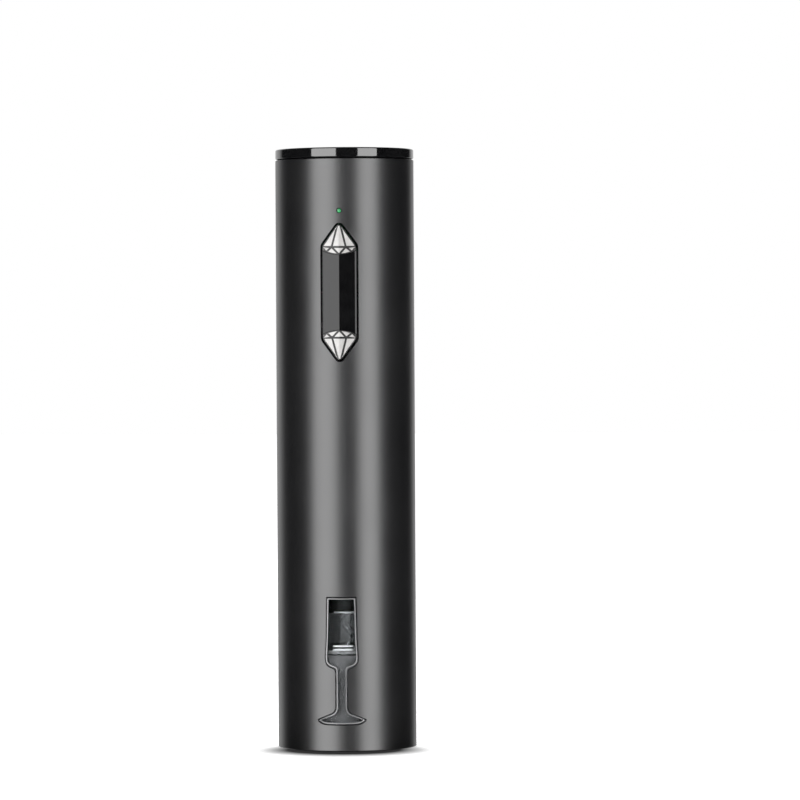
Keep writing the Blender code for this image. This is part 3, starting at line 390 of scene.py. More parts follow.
# ---- Window trim ----
# A thin frame of brushed aluminium, blanked from sheet and rolled to the tube's curve.
# It lies in the glass-shaped opening, clear of the sleeve's edge and of the pane behind it, and
# stands a hair proud of the sleeve.
TRIM_MID_R = 0.02422
TRIM_THICK = 0.0007
TRIM_ANGLE = 0.45
brushed_trim = worked_finish(
    "brushed_trim", (0.24, 0.24, 0.245), (0.34, 0.34, 0.345), (0.46, 0.56), cloud=900,
    drawn=(1, 1, 6), relief=4000, depth=0.05, metallic=1.0)
trim_lines = [wrapped(rounded(glass(grow), 8), TRIM_MID_R) for grow in (-0.00004, -0.00042)]
window_trim = sheet_cut("window_trim", trim_lines, TRIM_THICK, 0.00006, front_y=-TRIM_THICK / 2)
wrap_round(window_trim, TRIM_ANGLE, TRIM_MID_R, 24)
window_trim.data.materials.append(brushed_trim)
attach(window_trim, "housing")

# ---- Top cap ----
# Injection-moulded gloss black ABS, polished, with a spigot pressed into the tube's top end.
# A thin dark joint line shows between it and the sleeve.
CAP_TOP = 0.2112


def turned_piece(name, profile, edge, sides=160, closed=True, segments=2):
    """A ring drawn out along a profile of (radius, height), as on a lathe."""
    bpy.ops.object.select_all(action="DESELECT")
    first_r, first_z = profile[0]
    bpy.ops.mesh.primitive_circle_add(vertices=sides, radius=first_r, location=(0, 0, first_z))
    piece = bpy.context.object
    piece.name = name
    bpy.ops.object.transform_apply()
    bpy.ops.object.mode_set(mode="EDIT")
    bpy.ops.mesh.select_mode(type="EDGE")
    bpy.ops.mesh.select_all(action="SELECT")
    before_r, before_z = first_r, first_z
    for radius, height in profile[1:]:
        bpy.ops.mesh.extrude_region()
        share = radius / before_r
        bpy.ops.transform.resize(value=(share, share, 1), center_override=(0, 0, before_z))
        bpy.ops.transform.translate(value=(0, 0, height - before_z))
        before_r, before_z = radius, height
    bpy.ops.mesh.select_all(action="DESELECT")
    bpy.ops.mesh.select_non_manifold()
    if closed:
        bpy.ops.mesh.bridge_edge_loops()
    else:
        bpy.ops.mesh.fill_holes(sides=0)
    bpy.ops.mesh.select_mode(type="FACE")
    bpy.ops.mesh.select_all(action="SELECT")
    bpy.ops.mesh.normals_make_consistent(inside=False)
    bpy.ops.object.mode_set(mode="OBJECT")
    return eased(piece, edge, segments)


def eased(piece, edge, segments=2, angle=25):
    """Round the sharp edges and keep the broad faces flat in shading."""
    if edge:
        bevel = piece.modifiers.new("edge", "BEVEL")
        bevel.width = edge
        bevel.segments = segments
        bevel.limit_method = "ANGLE"
        bevel.angle_limit = math.radians(angle)
        bevel.use_clamp_overlap = True
    apply_modifiers(piece)
    bpy.ops.object.shade_smooth_by_angle(angle=math.radians(35))
    weigh = piece.modifiers.new("broad_faces", "WEIGHTED_NORMAL")
    weigh.keep_sharp = True
    return apply_modifiers(piece)


gloss_abs = worked_finish(
    "gloss_abs", (0.004, 0.004, 0.0045), (0.007, 0.007, 0.0075), (0.04, 0.07), cloud=120,
    relief=600, depth=0.02)
tune(gloss_abs, {"Specular IOR Level": 1.0})
cap = turned_piece("gloss_cap", [
    (0.0001, CAP_TOP), (0.0150, CAP_TOP), (BODY_R, CAP_TOP), (BODY_R, 0.2077), (0.0234, 0.2077),
    (0.0233, 0.2050), (0.0219, 0.2050), (0.0219, 0.2092), (0.0001, 0.2092)],
    closed=False, edge=0.0007, segments=4)
cap.data.materials.append(gloss_abs)
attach(cap, "housing")
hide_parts("top_cap")

# ---- Rocker button ----
# One long gloss black moulding with a ridge down the middle and narrow sloping side strips.
# It tilts on a cross pin; two posts behind it press the switches, and each end has a pocket.
RIDGE_Y = -0.0253
ROCKER_BACK_Y = -0.0215
PIVOT_Y = -0.0190
ROOF_ANGLE = math.atan(0.00095 / 0.0062)
STRIP_X = 0.0055
STRIP_ANGLE = math.radians(24)
POCKET_Y = -0.0236
POCKET_DEEP = 0.004
POST_REACH = 0.0075
LUG_HALF = 0.0017
CUT_Z = 0.0132
CUT_CURVE = 0.0015
CUT_HALF = 0.006


def beyond_cut(way, grow):
    """The end of the rocker beyond the curved line where an inlay starts, in (x, z)."""
    side_z = CUT_Z + CUT_CURVE - grow
    points = [(-0.012, side_z), (-0.012, 0.03), (0.012, 0.03), (0.012, side_z)]
    for step in range(12, -13, -1):
        share = step / 12
        points.append((CUT_HALF * share, CUT_Z + CUT_CURVE * share ** 2 - grow))
    return [(x, ROCKER_Z + way * z) for x, z in points]


def combine(piece, tool, how):
    """Cut, trim or join a piece with another solid, which is used up."""
    step = piece.modifiers.new("with_tool", "BOOLEAN")
    step.operation = how
    step.solver = "EXACT"
    step.object = tool
    apply_modifiers(piece)
    bpy.data.objects.remove(tool, do_unlink=True)
    return piece


def bar(name, start, end, radius, sides=32, edge=0.00012):
    """A turned bar between two points with its ends eased."""
    run = Vector(end) - Vector(start)
    turn = Vector((0, 0, 1)).rotation_difference(run)
    bpy.ops.object.select_all(action="DESELECT")
    bpy.ops.mesh.primitive_cylinder_add(
        vertices=sides, radius=radius, depth=run.length,
        location=(Vector(start) + Vector(end)) / 2, rotation=turn.to_euler())
    piece = bpy.context.object
    piece.name = name
    bpy.ops.object.transform_apply()
    return eased(piece, edge) if edge else piece


def blocked(name, low_corner, high_corner, edge):
    """A squared block between two corners with its edges eased."""
    bpy.ops.object.select_all(action="DESELECT")
    size = Vector(high_corner) - Vector(low_corner)
    bpy.ops.mesh.primitive_cube_add(size=1, location=(Vector(low_corner) + Vector(high_corner)) / 2)
    piece = bpy.context.object
    piece.name = name
    piece.scale = size
    bpy.ops.object.transform_apply()
    return eased(piece, edge) if edge else piece


rocker = sheet_cut("gloss_rocker", [rounded(hexagon())], ROCKER_BACK_Y - RIDGE_Y, 0.0001,
                   front_y=RIDGE_Y)
for way in (-1, 1):
    slope = (way * math.sin(ROOF_ANGLE), -math.cos(ROOF_ANGLE), 0)
    slice_piece(rocker, (0, RIDGE_Y, 0), slope, use_fill=True, clear_outer=True)
    strip_top = (way * STRIP_X, RIDGE_Y + STRIP_X * math.tan(ROOF_ANGLE), 0)
    slope = (way * math.sin(STRIP_ANGLE), -math.cos(STRIP_ANGLE), 0)
    slice_piece(rocker, strip_top, slope, use_fill=True, clear_outer=True)
eased(rocker, 0.00009, 2, angle=15)
for way in (-1, 1):
    pocket = sheet_cut("pocket", [beyond_cut(way, 0.00012)], POCKET_DEEP, 0.0,
                       front_y=POCKET_Y - POCKET_DEEP)
    combine(rocker, pocket, "DIFFERENCE")
    post_z = ROCKER_Z + way * POST_REACH
    combine(rocker, bar("post", (0, ROCKER_BACK_Y - 0.001, post_z), (0, -0.0202, post_z), 0.0012),
            "UNION")
lug = blocked("lug", (-0.0025, ROCKER_BACK_Y - 0.001, ROCKER_Z - LUG_HALF),
              (0.0025, PIVOT_Y + LUG_HALF, ROCKER_Z + LUG_HALF), edge=0.0006)
combine(rocker, lug, "UNION")
lug_hole = bar("lug_hole", (-0.01, PIVOT_Y, ROCKER_Z), (0.01, PIVOT_Y, ROCKER_Z), 0.00105, edge=0)
combine(rocker, lug_hole, "DIFFERENCE")
bpy.ops.object.shade_smooth_by_angle(angle=math.radians(12))
rocker_abs = worked_finish(
    "rocker_abs", (0.004, 0.004, 0.0045), (0.007, 0.007, 0.0075), (0.10, 0.14), cloud=200,
    relief=900, depth=0.02)
tune(rocker_abs, {"Specular IOR Level": 0.34})
rocker.data.materials.append(rocker_abs)
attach(rocker, "rocker")
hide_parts("rocker_button")

# ---- Gem inlays ----
# Two pearl white mouldings snapped into the rocker's ends, each cut like a gem seen from the side.
# Black paint fills the grooves between the facets.
pearl = worked_finish(
    "pearl_moulding", (0.60, 0.585, 0.575), (0.70, 0.685, 0.675), (0.18, 0.3), cloud=500, relief=3500,
    depth=0.12)
groove_paint = worked_finish(
    "groove_paint", (0.006, 0.006, 0.006), (0.012, 0.011, 0.011), (0.3, 0.45), cloud=900,
    relief=5000, depth=0.1)
GIRDLE = 0.01585
TIP_Z = 0.0236
GEM_HALF = 0.00595
GROOVE_HALF = 0.00036
GROOVE_DEEP = 0.00004
INLAY_THICK = 0.0013
APEXES = (-0.0005, 0.0005)
CROWN_TOP = (-0.0060, -0.0026, 0.0024, 0.0060)
CROWN_LOW = (-0.0046, 0.0, 0.0046)
SLIVER = 0.00002


def score(piece, start, end, below_girdle):
    """Cut the facets that a line between two (x, z) places crosses, on one side of the girdle."""
    run = Vector(end) - Vector(start)
    left, right = sorted((start[0], end[0]))
    bpy.ops.mesh.select_all(action="DESELECT")
    bpy.ops.object.mode_set(mode="OBJECT")
    for face in piece.data.polygons:
        xs = [piece.data.vertices[index].co.x for index in face.vertices]
        crossed = min(xs) < right - SLIVER and max(xs) > left + SLIVER
        face.select = crossed and (face.center.z < GIRDLE) == below_girdle
    bpy.ops.object.mode_set(mode="EDIT")
    bpy.ops.mesh.bisect(
        plane_co=(start[0], 0, start[1]), plane_no=(run.y, 0, -run.x), threshold=ON_PLANE)


rim = [(x, z - ROCKER_Z) for x, z in rounded(hexagon(-0.00005), 2)]
rim = [(x, z) for x, z in rim if z > CUT_Z + CUT_CURVE]
rim_right = [(x, z) for x, z in rim if x > 0] + [(GEM_HALF, CUT_Z + CUT_CURVE)]
rim_left = [(-GEM_HALF, CUT_Z + CUT_CURVE)] + [(x, z) for x, z in rim if x < 0]
cut_line = [(-GEM_HALF + 2 * GEM_HALF * i / 16, CUT_Z + CUT_CURVE * (i / 8 - 1) ** 2)
            for i in range(1, 16)]
gem_outline = rim_right + cut_line[::-1] + rim_left

for way, side in ((1, "upper"), (-1, "lower")):
    bpy.ops.object.select_all(action="DESELECT")
    bpy.ops.mesh.primitive_circle_add(vertices=len(gem_outline), radius=0.01, fill_type="NGON")
    inlay = bpy.context.object
    inlay.name = f"gem_inlay_{side}"
    for vertex, (x, z) in zip(inlay.data.vertices, reversed(gem_outline)):
        vertex.co = (x, 0, z)
    bpy.ops.object.mode_set(mode="EDIT")
    bpy.ops.mesh.select_mode(type="FACE")
    bpy.ops.mesh.select_all(action="SELECT")
    bpy.ops.mesh.bisect(plane_co=(0, 0, GIRDLE), plane_no=(0, 0, 1), threshold=ON_PLANE)
    for foot, apex in zip(CROWN_TOP[1:3], APEXES):
        score(inlay, (foot, GIRDLE), (apex, TIP_Z), below_girdle=False)
    for i, low_x in enumerate(CROWN_LOW):
        low_point = (low_x, CUT_Z + CUT_CURVE * (low_x / CUT_HALF) ** 2)
        score(inlay, (CROWN_TOP[i], GIRDLE), low_point, below_girdle=True)
        score(inlay, low_point, (CROWN_TOP[i + 1], GIRDLE), below_girdle=True)
    bpy.ops.mesh.select_all(action="SELECT")
    bpy.ops.mesh.inset(thickness=GROOVE_HALF, use_individual=True)
    bpy.ops.object.mode_set(mode="OBJECT")
    inlay.data.materials.append(groove_paint)
    inlay.data.materials.append(pearl)
    for face in inlay.data.polygons:
        face.material_index = 1 if face.select else 0
    bpy.ops.object.mode_set(mode="EDIT")
    bpy.ops.transform.translate(value=(0, -GROOVE_DEEP, 0))
    bpy.ops.mesh.select_all(action="SELECT")
    bpy.ops.mesh.bisect(plane_co=(0, 0, 0), plane_no=(1, 0, 0), threshold=ON_PLANE)
    for half in (-1, 1):
        bpy.ops.mesh.select_mode(type="VERT")
        bpy.ops.mesh.select_all(action="DESELECT")
        bpy.ops.object.mode_set(mode="OBJECT")
        for vertex in inlay.data.vertices:
            vertex.select = vertex.co.x * half > 0.000001
        bpy.ops.object.mode_set(mode="EDIT")
        bpy.ops.transform.rotate(value=-half * ROOF_ANGLE, orient_axis="Z", center_override=(0, 0, 0))
    bpy.ops.mesh.select_mode(type="FACE")
    bpy.ops.mesh.select_all(action="SELECT")
    bpy.ops.mesh.extrude_region()
    bpy.ops.transform.translate(value=(0, -INLAY_THICK, 0))
    bpy.ops.mesh.select_all(action="SELECT")
    bpy.ops.mesh.normals_make_consistent(inside=False)
    if way == -1:
        bpy.ops.transform.resize(value=(1, 1, -1), center_override=(0, 0, 0))
        bpy.ops.mesh.flip_normals()
    bpy.ops.transform.translate(value=(0, RIDGE_Y + 0.00136, ROCKER_Z))
    bpy.ops.object.mode_set(mode="OBJECT")
    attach(inlay, "rocker")
    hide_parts(f"diamond_inlay_{side}")

# ---- Switch bezel and pivot pin ----
# A thin gloss black ring, moulded to the tube's curve, lies behind the edge of the opening.
# The pivot pin is ground steel wire held in the ears of the front frame.
BEZEL_R = 0.0234
bezel = sheet_cut("bezel_ring", [rounded(hexagon(0.00105)), rounded(hexagon(0.0005))], 0.0053, 0.0,
                  front_y=-0.0261)
bezel_limit = turned_piece("bezel_limit", [
    (0.0001, 0.12), (BEZEL_R, 0.12), (BEZEL_R, 0.20), (0.0001, 0.20)], sides=192, closed=False, edge=0)
combine(bezel, bezel_limit, "INTERSECT")
eased(bezel, 0.00012, 2, angle=40)
bezel.data.materials.append(gloss_abs)
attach(bezel, "housing")
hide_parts("switch_bezel")

steel_ground = worked_finish(
    "ground_steel", (0.45, 0.46, 0.47), (0.62, 0.63, 0.64), (0.2, 0.34), cloud=300, drawn=(1, 1, 9),
    relief=5000, depth=0.06, metallic=1.0)
pin = bar("pivot_pin", (-0.0095, PIVOT_Y, ROCKER_Z), (0.0095, PIVOT_Y, ROCKER_Z), 0.00075, 32, 0.0002)
pin.data.materials.append(steel_ground)
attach(pin, "housing")
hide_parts("rocker_pivot_pin")

# ---- Status light ----
# A green diode on the board shines down a short acrylic pipe whose domed end shows in the sleeve.
# The pipe is moulded with a collar that stops it against the front frame.
lit_acrylic = worked_finish(
    "lit_acrylic", (0.03, 0.30, 0.10), (0.06, 0.42, 0.16), (0.15, 0.25), cloud=900, relief=4000,
    depth=0.1)
tune(lit_acrylic, {"Emission Color": (0.04, 0.42, 0.12, 1), "Emission Strength": 0.22})
light_pipe = bar("light_pipe", (0, -0.0169, LIGHT_Z), (0, -0.02455, LIGHT_Z), 0.0006, 32, 0.00025)
pipe_collar = bar("collar", (0, -0.0214, LIGHT_Z), (0, -0.0204, LIGHT_Z), 0.00144, 32, 0.00012)
combine(light_pipe, pipe_collar, "UNION")
bpy.ops.object.shade_smooth_by_angle(angle=math.radians(35))
light_pipe.data.materials.append(lit_acrylic)
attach(light_pipe, "housing")
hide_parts("led_light_pipe")

# ---- Bottle end: neck guide, window, cork chamber ----
# The neck guide is a smoke grey satin moulding that stops on the bottle's lip. The window pane and
# the cork chamber are coated acrylic, which hardly bends light; the chamber's lower end is frosted.
# Three short bright wires behind the pane are painted glints, standing for light caught on the chamber's
# step and flange.
PANE_MID_R = 0.02275
PANE_THICK = 0.0013
PANE_LOW = 0.0066
PANE_HIGH = 0.0565
FROST_TOP = 0.0478
BEAD_R = 0.00035
coated_acrylic = worked_finish(
    "coated_acrylic", (0.90, 0.92, 0.93), (0.96, 0.97, 0.98), (0.02, 0.05), cloud=150, relief=500,
    depth=0.02)
tune(coated_acrylic, {"Transmission Weight": 1.0, "IOR": 1.06})
pane_angle = math.asin(0.0095 / PANE_MID_R)
pane_x = pane_angle * PANE_MID_R + 0.002
pane_outline = [(pane_x, PANE_HIGH), (pane_x, PANE_LOW), (-pane_x, PANE_LOW), (-pane_x, PANE_HIGH)]
pane = sheet_cut("clear_pane", [pane_outline], PANE_THICK, 0.00015, front_y=-PANE_THICK / 2)
wrap_round(pane, pane_angle, PANE_MID_R, 28)
pane.data.materials.append(coated_acrylic)
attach(pane, "housing")
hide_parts("flute_window")

# Painted glints: near-white bright metal wires, cut short to the stretch where the chamber's edges catch
# the light.
painted_glint_wire = worked_finish(
    "painted_glint_wire", (0.82, 0.83, 0.84), (0.93, 0.94, 0.95), (0.46, 0.56), cloud=900, relief=3000,
    depth=0.1, metallic=1.0)
smoke_satin = worked_finish(
    "smoke_satin", (0.062, 0.062, 0.064), (0.09, 0.09, 0.092), (0.45, 0.55), cloud=250, relief=5000,
    depth=0.12)
guide = turned_piece("smoke_neck_guide", [
    (0.0218, 0.0334), (0.0218, 0.0060), (0.0234, 0.0060), (0.0234, 0.0), (0.0180, 0.0),
    (0.0155, 0.0040), (0.0155, 0.0300), (0.0120, 0.0300), (0.0120, 0.0334)], edge=0.0003, segments=3)
guide.data.materials.append(smoke_satin)
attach(guide, "housing")
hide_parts("neck_guide")

chamber = turned_piece("clear_chamber", [
    (0.0143, 0.0760), (0.0143, 0.0351), (0.0213, 0.0351), (0.0213, 0.0337), (0.0118, 0.0337),
    (0.0118, 0.0473), (0.0125, 0.0473), (0.0125, 0.0760)], edge=0.00025, segments=2)
chamber.data.materials.append(coated_acrylic)
frosted_acrylic = coated_acrylic.copy()
frosted_acrylic.name = "frosted_acrylic"
tune(frosted_acrylic, {"Transmission Weight": 0.86, "IOR": 1.49})
chamber.data.materials.append(frosted_acrylic)
for face in chamber.data.polygons:
    face.material_index = 1 if face.center.z < FROST_TOP else 0
for number, (bead_r, bead_z, left, right) in enumerate((
        (0.0147, 0.0481, -0.0034, 0.0036), (0.02145, 0.0366, -0.0032, 0.0040),
        (0.02145, 0.03535, -0.0032, 0.0040)), 1):
    section = [(bead_r + BEAD_R * math.cos(i * math.pi / 6), bead_z + BEAD_R * math.sin(i * math.pi / 6))
               for i in range(12)]
    bead = turned_piece(f"bright_bead_{number}", section, edge=0)
    slice_piece(bead, (0, 0, 0), (0, 1, 0), use_fill=True, clear_outer=True)
    slice_piece(bead, (left, 0, 0), (1, 0, 0), use_fill=True, clear_inner=True)
    slice_piece(bead, (right, 0, 0), (1, 0, 0), use_fill=True, clear_outer=True)
    bead.data.materials.append(painted_glint_wire)
    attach(bead, "housing")
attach(chamber, "housing")
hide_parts("cork_chamber")

# ---- Worm guide ----
# A black nylon funnel that centres the worm as it comes down.
# It floats up the chamber on top of the cork.
nylon = worked_finish(
    "nylon_moulding", (0.012, 0.012, 0.0125), (0.024, 0.024, 0.025), (0.42, 0.58), cloud=700,
    relief=6000, depth=0.25)
funnel = turned_piece("worm_funnel", [
    (0.0121, 0.0526), (0.0121, 0.0476), (0.0075, 0.0476), (0.0045, 0.0506), (0.0045, 0.0526)],
    sides=128, edge=0.00025, segments=3)
funnel.data.materials.append(nylon)
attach(funnel, "floating_guide")
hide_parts("worm_guide")

# ---- Corkscrew worm ----
# A steel wire wound right-handed on a mandrel, ground to a point, then bright chrome plated.
# Its straight shank is pressed into the carriage.
bright_chrome = worked_finish(
    "bright_chrome", (0.80, 0.81, 0.82), (0.90, 0.91, 0.92), (0.05, 0.11), cloud=400, relief=2500,
    depth=0.04, metallic=1.0)
WORM_TIP_Z = 0.0300
SHANK_Z = 0.1100
LEAD = 0.0120
WIRE_R = 0.0014
COIL_R = 0.0026
FACING_Z = 0.0473
POINT_LENGTH = 0.0075
winding = bpy.data.curves.new("chromed_worm", "CURVE")
winding.dimensions = "3D"
winding.bevel_depth = WIRE_R
winding.bevel_resolution = 6
winding.use_fill_caps = True
coil = winding.splines.new("POLY")
steps = 190
coil.points.add(steps + 2)
for step in range(steps + 1):
    height = WORM_TIP_Z + (SHANK_Z - WORM_TIP_Z) * step / steps
    turn = 2 * math.pi * (height - FACING_Z) / LEAD - math.pi / 2
    closing = max(0.0, 1 - (SHANK_Z - height) / (0.4 * LEAD))
    away = COIL_R * (1 - closing)
    coil.points[step].co = (away * math.cos(turn), away * math.sin(turn), height, 1)
    coil.points[step].radius = min(1.0, 0.06 + 0.94 * math.sqrt((height - WORM_TIP_Z) / POINT_LENGTH))
coil.points[steps + 1].co = (0, 0, SHANK_Z + 0.0014, 1)
coil.points[steps + 2].co = (0, 0, 0.1210, 1)
worm = bpy.data.objects.new("chromed_worm", winding)
bpy.context.scene.collection.objects.link(worm)
pick(worm)
bpy.ops.object.convert(target="MESH")
bpy.ops.object.mode_set(mode="EDIT")
bpy.ops.mesh.select_all(action="SELECT")
bpy.ops.mesh.remove_doubles(threshold=WELD)
bpy.ops.mesh.normals_make_consistent(inside=False)
bpy.ops.object.mode_set(mode="OBJECT")
bpy.ops.object.shade_smooth_by_angle(angle=math.radians(50))
worm.data.materials.append(bright_chrome)
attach(worm, "worm")
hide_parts("corkscrew_worm")

# ---- Carriage, follower pins and drive tube ----
# The carriage is a turned steel slug inside the slotted tube; two hardened pins pass through it.
# The tube turns both, and the pins follow the grooves of the thread sleeve.
CROSS_PIN_Z = 0.1200
carriage = turned_piece("turned_carriage", [
    (0.0080, 0.1240), (0.0080, 0.1160), (0.00175, 0.1160), (0.00175, 0.1240)], sides=96, edge=0.0004)
pin_bore = bar("pin_bore", (-0.01, 0, CROSS_PIN_Z), (0.01, 0, CROSS_PIN_Z), 0.0018, edge=0)
combine(carriage, pin_bore, "DIFFERENCE")
bpy.ops.object.shade_smooth_by_angle(angle=math.radians(35))
carriage.data.materials.append(steel_ground)
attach(carriage, "worm")
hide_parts("worm_carriage")
for side, way in (("left", -1), ("right", 1)):
    follower = bar(f"hardened_pin_{side}", (way * 0.0050, 0, CROSS_PIN_Z),
                   (way * 0.0119, 0, CROSS_PIN_Z), 0.0015, 48, 0.0002)
    follower.data.materials.append(steel_ground)
    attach(follower, "worm")
    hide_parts(f"follower_pin_{side}")

tube = turned_piece("slotted_tube", [
    (0.0103, 0.1270), (0.0103, 0.0768), (0.00835, 0.0768), (0.00835, 0.1270)], sides=96, edge=0.00025)
for way in (-1, 1):
    slot_low, slot_high = sorted((way * 0.0030, way * 0.0160))
    slot = blocked("slot", (slot_low, -0.0018, 0.0782), (slot_high, 0.0018, 0.1218), edge=0.0017)
    combine(tube, slot, "DIFFERENCE")
bpy.ops.object.shade_smooth_by_angle(angle=math.radians(35))
tube.data.materials.append(steel_ground)
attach(tube, "drive")
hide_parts("drive_tube")

# ---- Thread sleeve and bush ----
# The sleeve is grey acetal moulded on an unscrewing core, which leaves two helical grooves.
# A sintered brass bush in its top end carries the drive tube.
acetal = worked_finish(
    "acetal_moulding", (0.30, 0.30, 0.29), (0.42, 0.42, 0.40), (0.36, 0.5), cloud=500, relief=5000,
    depth=0.15)
sintered_brass = worked_finish(
    "sintered_brass", (0.52, 0.36, 0.13), (0.78, 0.58, 0.26), (0.25, 0.42), cloud=900, relief=7000,
    depth=0.3, metallic=1.0)


def keep_node(node, finish):
    """Give a CAD node its finish."""
    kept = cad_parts[node]
    kept.data.materials.clear()
    kept.data.materials.append(finish)


def refined(name, node, body, finish, edge):
    """A CAD node's shape, welded, with its edges eased as a mould or a tumbler leaves them."""
    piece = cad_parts[node].copy()
    piece.data = piece.data.copy()
    piece.name = name
    for key in list(piece.keys()):
        del piece[key]
    piece.parent = None
    bpy.context.scene.collection.objects.link(piece)
    pick(piece)
    bpy.ops.object.mode_set(mode="EDIT")
    bpy.ops.mesh.select_all(action="SELECT")
    bpy.ops.mesh.remove_doubles(threshold=WELD)
    bpy.ops.mesh.customdata_custom_splitnormals_clear()
    bpy.ops.mesh.dissolve_limited(angle_limit=math.radians(0.5))
    bpy.ops.object.mode_set(mode="OBJECT")
    eased(piece, edge, 2, angle=40)
    piece.data.materials.clear()
    piece.data.materials.append(finish)
    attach(piece, body)
    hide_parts(node)
    return piece


keep_node("thread_sleeve", acetal)
bush = turned_piece("brass_bush", [
    (0.012125, 0.1265), (0.012125, 0.1236), (0.0106, 0.1236), (0.0106, 0.1265)], sides=96, edge=0.0002)
bush.data.materials.append(sintered_brass)
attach(bush, "housing")
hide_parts("output_bush")

# ---- Planetary gearbox ----
# Three stages share one acetal ring gear; the first two stages' wheels are acetal, the last steel.
# Each carrier is a steel plate with pressed-in axles, and the first two carry the next sun wheel.
refined("ring_gear", "gearbox_ring_gear", "housing", acetal, 0.00008)
for stage in (1, 2, 3):
    for wheel in (1, 2, 3):
        refined(f"planet_wheel_{stage}_{wheel}", f"stage_{stage}_planet_{wheel}",
                f"wheel_{stage}_planet_{wheel}",
                steel_ground if stage == 3 else acetal, 0.00008)
refined("carrier_1", "stage_1_carrier", "stage_1", steel_ground, 0.00008)
refined("carrier_2", "stage_2_carrier", "stage_2", steel_ground, 0.00008)
refined("carrier_output", "output_carrier", "drive", steel_ground, 0.00008)

# ---- Motor ----
# A brushed motor: a drawn steel can with two ferrite magnets glued in, a wound five-pole armature,
# a nylon end bell that holds the brushes, and a brass pinion pressed on its shaft.
PLATE_FLAT_Y = -0.0200
zinc_steel = worked_finish(
    "zinc_steel", (0.40, 0.41, 0.43), (0.56, 0.57, 0.59), (0.28, 0.42), cloud=250, relief=4000,
    depth=0.08, metallic=1.0)
motor_plate = turned_piece("gearbox_lid", [
    (0.0213, 0.1499), (0.0213, 0.1483), (0.0020, 0.1483), (0.0020, 0.1499)], sides=128, edge=0)
slice_piece(motor_plate, (0, PLATE_FLAT_Y, 0), (0, -1, 0), use_fill=True, clear_outer=True)
eased(motor_plate, 0.0002)
motor_plate.data.materials.append(zinc_steel)
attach(motor_plate, "housing")
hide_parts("motor_plate")
can = turned_piece("drawn_can", [
    (0.0122, 0.1765), (0.0122, 0.1502), (0.0016, 0.1502), (0.0016, 0.1514), (0.0112, 0.1514),
    (0.0112, 0.1765)], sides=128, edge=0.0004, segments=3)
can.data.materials.append(zinc_steel)
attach(can, "housing")
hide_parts("motor_can")
bell = turned_piece("end_bell", [
    (0.0122, 0.1808), (0.0122, 0.1768), (0.0109, 0.1768), (0.0109, 0.1748), (0.0014, 0.1748),
    (0.0014, 0.1808)], sides=128, edge=0.0004, segments=3)
bell.data.materials.append(nylon)
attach(bell, "housing")
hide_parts("motor_end_bell")
wound_copper = worked_finish(
    "wound_copper", (0.42, 0.17, 0.08), (0.80, 0.42, 0.24), (0.25, 0.4), cloud=500,
    drawn=(0.4, 0.4, 12), relief=1500, depth=0.5, metallic=1.0)
ferrite = worked_finish(
    "fired_ferrite", (0.030, 0.030, 0.033), (0.060, 0.060, 0.065), (0.5, 0.7), cloud=800,
    relief=5000, depth=0.35)
refined("wound_armature", "motor_armature", "rotor", wound_copper, 0.00012)
refined("brass_pinion", "motor_pinion", "rotor", sintered_brass, 0.00006)
for side in ("front", "rear"):
    refined(f"ferrite_shell_{side}", f"motor_magnet_{side}", "housing", ferrite, 0.0002)
shaft_low, shaft_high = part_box("motor_shaft")
shaft = bar("ground_shaft", (0, 0, shaft_low.z), (0, 0, shaft_high.z), 0.0010, 48, 0.00015)
shaft.data.materials.append(steel_ground)
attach(shaft, "rotor")
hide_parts("motor_shaft")

# ---- Inner frame and its screws ----
# Two glass-filled nylon half shells with ribs hold the works, and four pan-head screws close them.
# A screw is turned along Z at the heights that become its places along Y, and then laid down.
HEAD_HIGH = 0.0014
THREAD_STEP = 0.0006
THREAD_R = 0.00098
refined("front_shell", "front_frame", "housing", nylon, 0.0001)
refined("rear_shell", "rear_frame", "housing", nylon, 0.0001)
blackened_steel = worked_finish(
    "blackened_steel", (0.10, 0.10, 0.105), (0.22, 0.22, 0.23), (0.3, 0.45), cloud=700, relief=5000,
    depth=0.1, metallic=1.0)
for number in (1, 2, 3, 4):
    screw_low, screw_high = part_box(f"frame_screw_{number}")
    screw_x = (screw_low.x + screw_high.x) / 2
    screw_z = (screw_low.z + screw_high.z) / 2
    head_y = screw_high.y - HEAD_HIGH
    thread = [(0.0003, screw_low.y), (0.0008, screw_low.y + 0.0008)]
    ridge_y = screw_low.y + 0.0008
    while ridge_y < head_y - 0.0018:
        thread += [(THREAD_R, ridge_y + 0.0003), (0.00075, ridge_y + THREAD_STEP)]
        ridge_y += THREAD_STEP
    shape = thread + [
        (THREAD_R, ridge_y + 0.0004), (THREAD_R, head_y), (0.0020, head_y), (0.0019, head_y + 0.0009),
        (0.0012, head_y + HEAD_HIGH), (0.0002, head_y + HEAD_HIGH)]
    screw = turned_piece(f"pan_head_screw_{number}", shape, sides=32, closed=False, edge=0)
    for across in (0, 1):
        reach, thin = (0.0011, 0.0002) if across else (0.0002, 0.0011)
        recess = blocked("recess", (-reach, -thin, head_y + 0.0005), (reach, thin, head_y + 0.0024), edge=0)
        combine(screw, recess, "DIFFERENCE")
    screw.rotation_euler.x = -math.pi / 2
    screw.location = (screw_x, 0, screw_z)
    pick(screw)
    bpy.ops.object.transform_apply()
    bpy.ops.object.shade_smooth_by_angle(angle=math.radians(40))
    screw.data.materials.append(blackened_steel)
    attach(screw, "housing")
    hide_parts(f"frame_screw_{number}")

